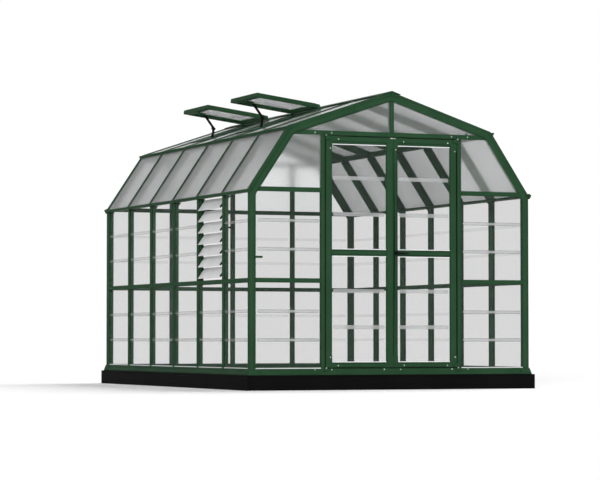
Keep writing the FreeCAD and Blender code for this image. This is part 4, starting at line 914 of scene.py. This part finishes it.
# Roof vents: green frames with a frosted pane, hung on a rod near the ridge above a kerb. The pane is a
# lighter copy of the roof's frosted plastic: painted light, for the light an open vent gets. A black
# folding stay of two arms, hinged on a cross bar inside, props each one open.
VENT_EDGE = 0.004
ARM_EDGE = 0.0015
ARM_FULLNESS = 1.4
# Painted light: the frosted plastic made lighter, for the light that reaches an open vent's pane.
vent_frosted_painted_light = finish(
    "vent_frosted_painted_light", (0.76, 0.77, 0.77), (0.71, 0.72, 0.72),
    drift=1.4, grain=700, gloss=(0.22, 0.28), bump=0.03,
    Transmission_Weight=0.90, Specular_IOR_Level=0.1, IOR=1.14,
)


def fuller(node):
    """Widens the arm of a stay about its own middle line, across its flat side."""
    points = [Vector(point) for solid in solids_of(node) for face in solid for point in face]
    start, end = max(((a, b) for a in points for b in points), key=lambda pair: (pair[0] - pair[1]).length)
    along = Vector((end.x - start.x, 0, end.z - start.z)).normalized()
    across = Vector((along.z, 0, -along.x))
    offsets = [(point - start).dot(across) for point in points]
    middle = (min(offsets) + max(offsets)) / 2

    def arm_point(point):
        place = Vector(point)
        return tuple(place + across * ((place - start).dot(across) - middle) * (ARM_FULLNESS - 1))

    return arm_point


rounded("vent_kerb_bars", "vent_kerbs", frame_green, CAP_EDGE)
rounded("stay_cross_bars", "vent_stay_rails", frame_green, CAP_EDGE)
rounded("vent_hinge_rods", "vent_hinges", frame_green, CAP_EDGE, steps=2)
for vent in ("front_vent", "rear_vent"):
    rounded(f"{vent}_tubes", f"{vent}_frame", frame_green, VENT_EDGE, body=vent)
    rounded(f"{vent}_sheet", f"{vent}_pane", vent_frosted_painted_light, FROSTED_EDGE, steps=1, body=vent)
    for arm in ("upper_arm", "lower_arm"):
        body = f"{vent}_{arm}"
        rounded(
            f"{body}_link", body, black_plastic, ARM_EDGE, steps=2, body=body,
            moved=fuller(body),
        )

# Louvre window: seven grey translucent blades, each held at its ends by black clips that turn in the
# jambs. A flat link bar with a grip ties the clips together inside.
LOUVRE_BLADES = 7
GLASS_SOLIDS = (0,)
CLIP_SOLIDS = (1, 2)
BLADE_EDGE = 0.0022
CLIP_EDGE = 0.0012
JAMB_SETBACK = 0.016
JAMB_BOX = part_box("louvre_jambs")
blade_glass = finish(
    "blade_glass", (0.84, 0.85, 0.85), (0.76, 0.77, 0.77),
    drift=5, grain=300, gloss=(0.20, 0.32), bump=0.02,
    Alpha=0.72, Specular_IOR_Level=0.5,
)


def jamb_point(point):
    """Sets the outer face of a jamb back behind the cover strips, so that the clips stand free."""
    return (max(point[0], JAMB_BOX[0][0] + JAMB_SETBACK), point[1], point[2])


rounded("louvre_jamb_bars", "louvre_jambs", frame_green, CAP_EDGE, moved=jamb_point)
for i in range(1, LOUVRE_BLADES + 1):
    blade = f"louvre_blade_{i}"
    rounded(
        f"{blade}_glass", blade, blade_glass, BLADE_EDGE, body=blade, picks=GLASS_SOLIDS
    )
    rounded(
        f"{blade}_clips", blade, black_plastic, CLIP_EDGE, steps=2, body=blade,
        picks=CLIP_SOLIDS, stands_for=[],
    )
rounded(
    "louvre_link_rod", "louvre_link_bar", black_plastic, CLIP_EDGE, steps=2,
    body="louvre_link",
)

# Screws: zinc-plated domed heads along the header, the sill and the corner covers of the leaves. Places
# on the leaves are read off the photograph.
HEAD_RADIUS = 0.005
HEAD_RISE = 0.0025
HEAD_DOME = ((0, 1), (0.5, 0.93), (0.85, 0.65), (1, 0.3))
HEAD_SIDES = 16
LEAF_SCREWS = {
    "left": ((-0.494, 2.113), (-0.570, 2.036), (-0.498, 0.204), (-0.570, 0.274)),
    "right": (
        (0.108, 2.107), (0.034, 2.037), (0.524, 2.107), (0.590, 2.038), (0.111, 0.204), (0.515, 0.202),
        (0.590, 0.274),
    ),
}


def screw_head(form, x, y, z):
    """A domed head on a face that looks to the front."""
    stations = [(y - HEAD_RISE * up, HEAD_RADIUS * wide) for up, wide in HEAD_DOME]
    turned(form, 1, (x, z), stations, count=HEAD_SIDES)


form = bmesh.new()
for low, high in boxes_of("frame_screws"):
    screw_head(form, (low[0] + high[0]) / 2, high[1], (low[2] + high[2]) / 2)
piece("frame_screw_heads", form, [zinc], stands_for=["frame_screws"])
for side, places in LEAF_SCREWS.items():
    form = bmesh.new()
    for x, z in places:
        screw_head(form, x, cover_face(side), z)
    piece(f"{side}_leaf_screws", form, [zinc], f"{side}_door")

# Stage: a wide pale floor that keeps the soft shadow, white surroundings, one wide soft light from beside
# the camera and one from the right, and the camera at the photographed angle.
FLOOR_HALF = 400
FLOOR_LIFT = 0.15
FLOOR_SHADE = (0.86, 0.86, 0.86, 1)
FLOOR_ROUGHNESS = 0.9
WHITE = (1, 1, 1, 1)
WORLD_LIGHT = 0.16
SOFT_LIGHTS = (
    ("front_light", (-0.45, -0.85, 0.27), 2.60, 20),
    ("right_light", (0.51, 0.19, 0.84), 2.30, 35),
)
CAMERA_PLACE = (-8.9268, -21.703, 0.4288)
CAMERA_YAW = 0.3879
CAMERA_PITCH = 0.0387
CAMERA_SENSOR = 36
CAMERA_LENS = 153.25
CAMERA_REACH = 1000


def seen_level(nodes, links, dark, bright):
    """A level for what is seen, straight, mirrored or through a pane, and another for what gives light."""
    path, level = nodes.new("ShaderNodeLightPath"), nodes.new("ShaderNodeMapRange")
    seen = path.outputs["Is Camera Ray"]
    for other in ("Is Transmission Ray", "Is Glossy Ray"):
        either = nodes.new("ShaderNodeMath")
        either.operation = "MAXIMUM"
        links.new(seen, either.inputs[0])
        links.new(path.outputs[other], either.inputs[1])
        seen = either.outputs["Value"]
    links.new(seen, level.inputs["Value"])
    level.inputs["To Min"].default_value = dark
    level.inputs["To Max"].default_value = bright
    return level.outputs["Result"]


form = bmesh.new()
corners = [(-1, -1), (1, -1), (1, 1), (-1, 1)]
form.faces.new([form.verts.new((FLOOR_HALF * x, FLOOR_HALF * y, 0)) for x, y in corners])
floor_mesh = bpy.data.meshes.new("floor")
form.to_mesh(floor_mesh)
form.free()
floor = bpy.data.objects.new("floor", floor_mesh)
bpy.context.scene.collection.objects.link(floor)
floor_paint = bpy.data.materials.new("floor_paint")
floor_paint.use_nodes = True
nodes, links = floor_paint.node_tree.nodes, floor_paint.node_tree.links
shader = nodes["Principled BSDF"]
shader.inputs["Base Color"].default_value = FLOOR_SHADE
shader.inputs["Roughness"].default_value = FLOOR_ROUGHNESS
shader.inputs["Specular IOR Level"].default_value = 0.0
shader.inputs["Emission Color"].default_value = WHITE
links.new(seen_level(nodes, links, 0.0, FLOOR_LIFT), shader.inputs["Emission Strength"])
floor_mesh.materials.append(floor_paint)

world = bpy.data.worlds.new("white_surroundings")
bpy.context.scene.world = world
world.use_nodes = True
nodes, links = world.node_tree.nodes, world.node_tree.links
sky = nodes["Background"]
sky.inputs["Color"].default_value = WHITE
links.new(seen_level(nodes, links, WORLD_LIGHT, 1.0), sky.inputs["Strength"])

for name, towards, strength, spread in SOFT_LIGHTS:
    lamp = bpy.data.lights.new(name, "SUN")
    lamp.energy = strength
    lamp.angle = math.radians(spread)
    holder = bpy.data.objects.new(name, lamp)
    holder.rotation_mode = "QUATERNION"
    holder.rotation_quaternion = Vector(towards).to_track_quat("Z", "Y")
    bpy.context.scene.collection.objects.link(holder)

lens = bpy.data.cameras.new("camera")
lens.sensor_width = CAMERA_SENSOR
lens.lens = CAMERA_LENS
lens.clip_end = CAMERA_REACH
camera = bpy.data.objects.new("camera", lens)
camera.location = CAMERA_PLACE
camera.rotation_euler = (math.pi / 2 + CAMERA_PITCH, 0, -CAMERA_YAW)
bpy.context.scene.collection.objects.link(camera)
bpy.context.scene.camera = camera
bpy.context.scene.view_settings.view_transform = "Standard"
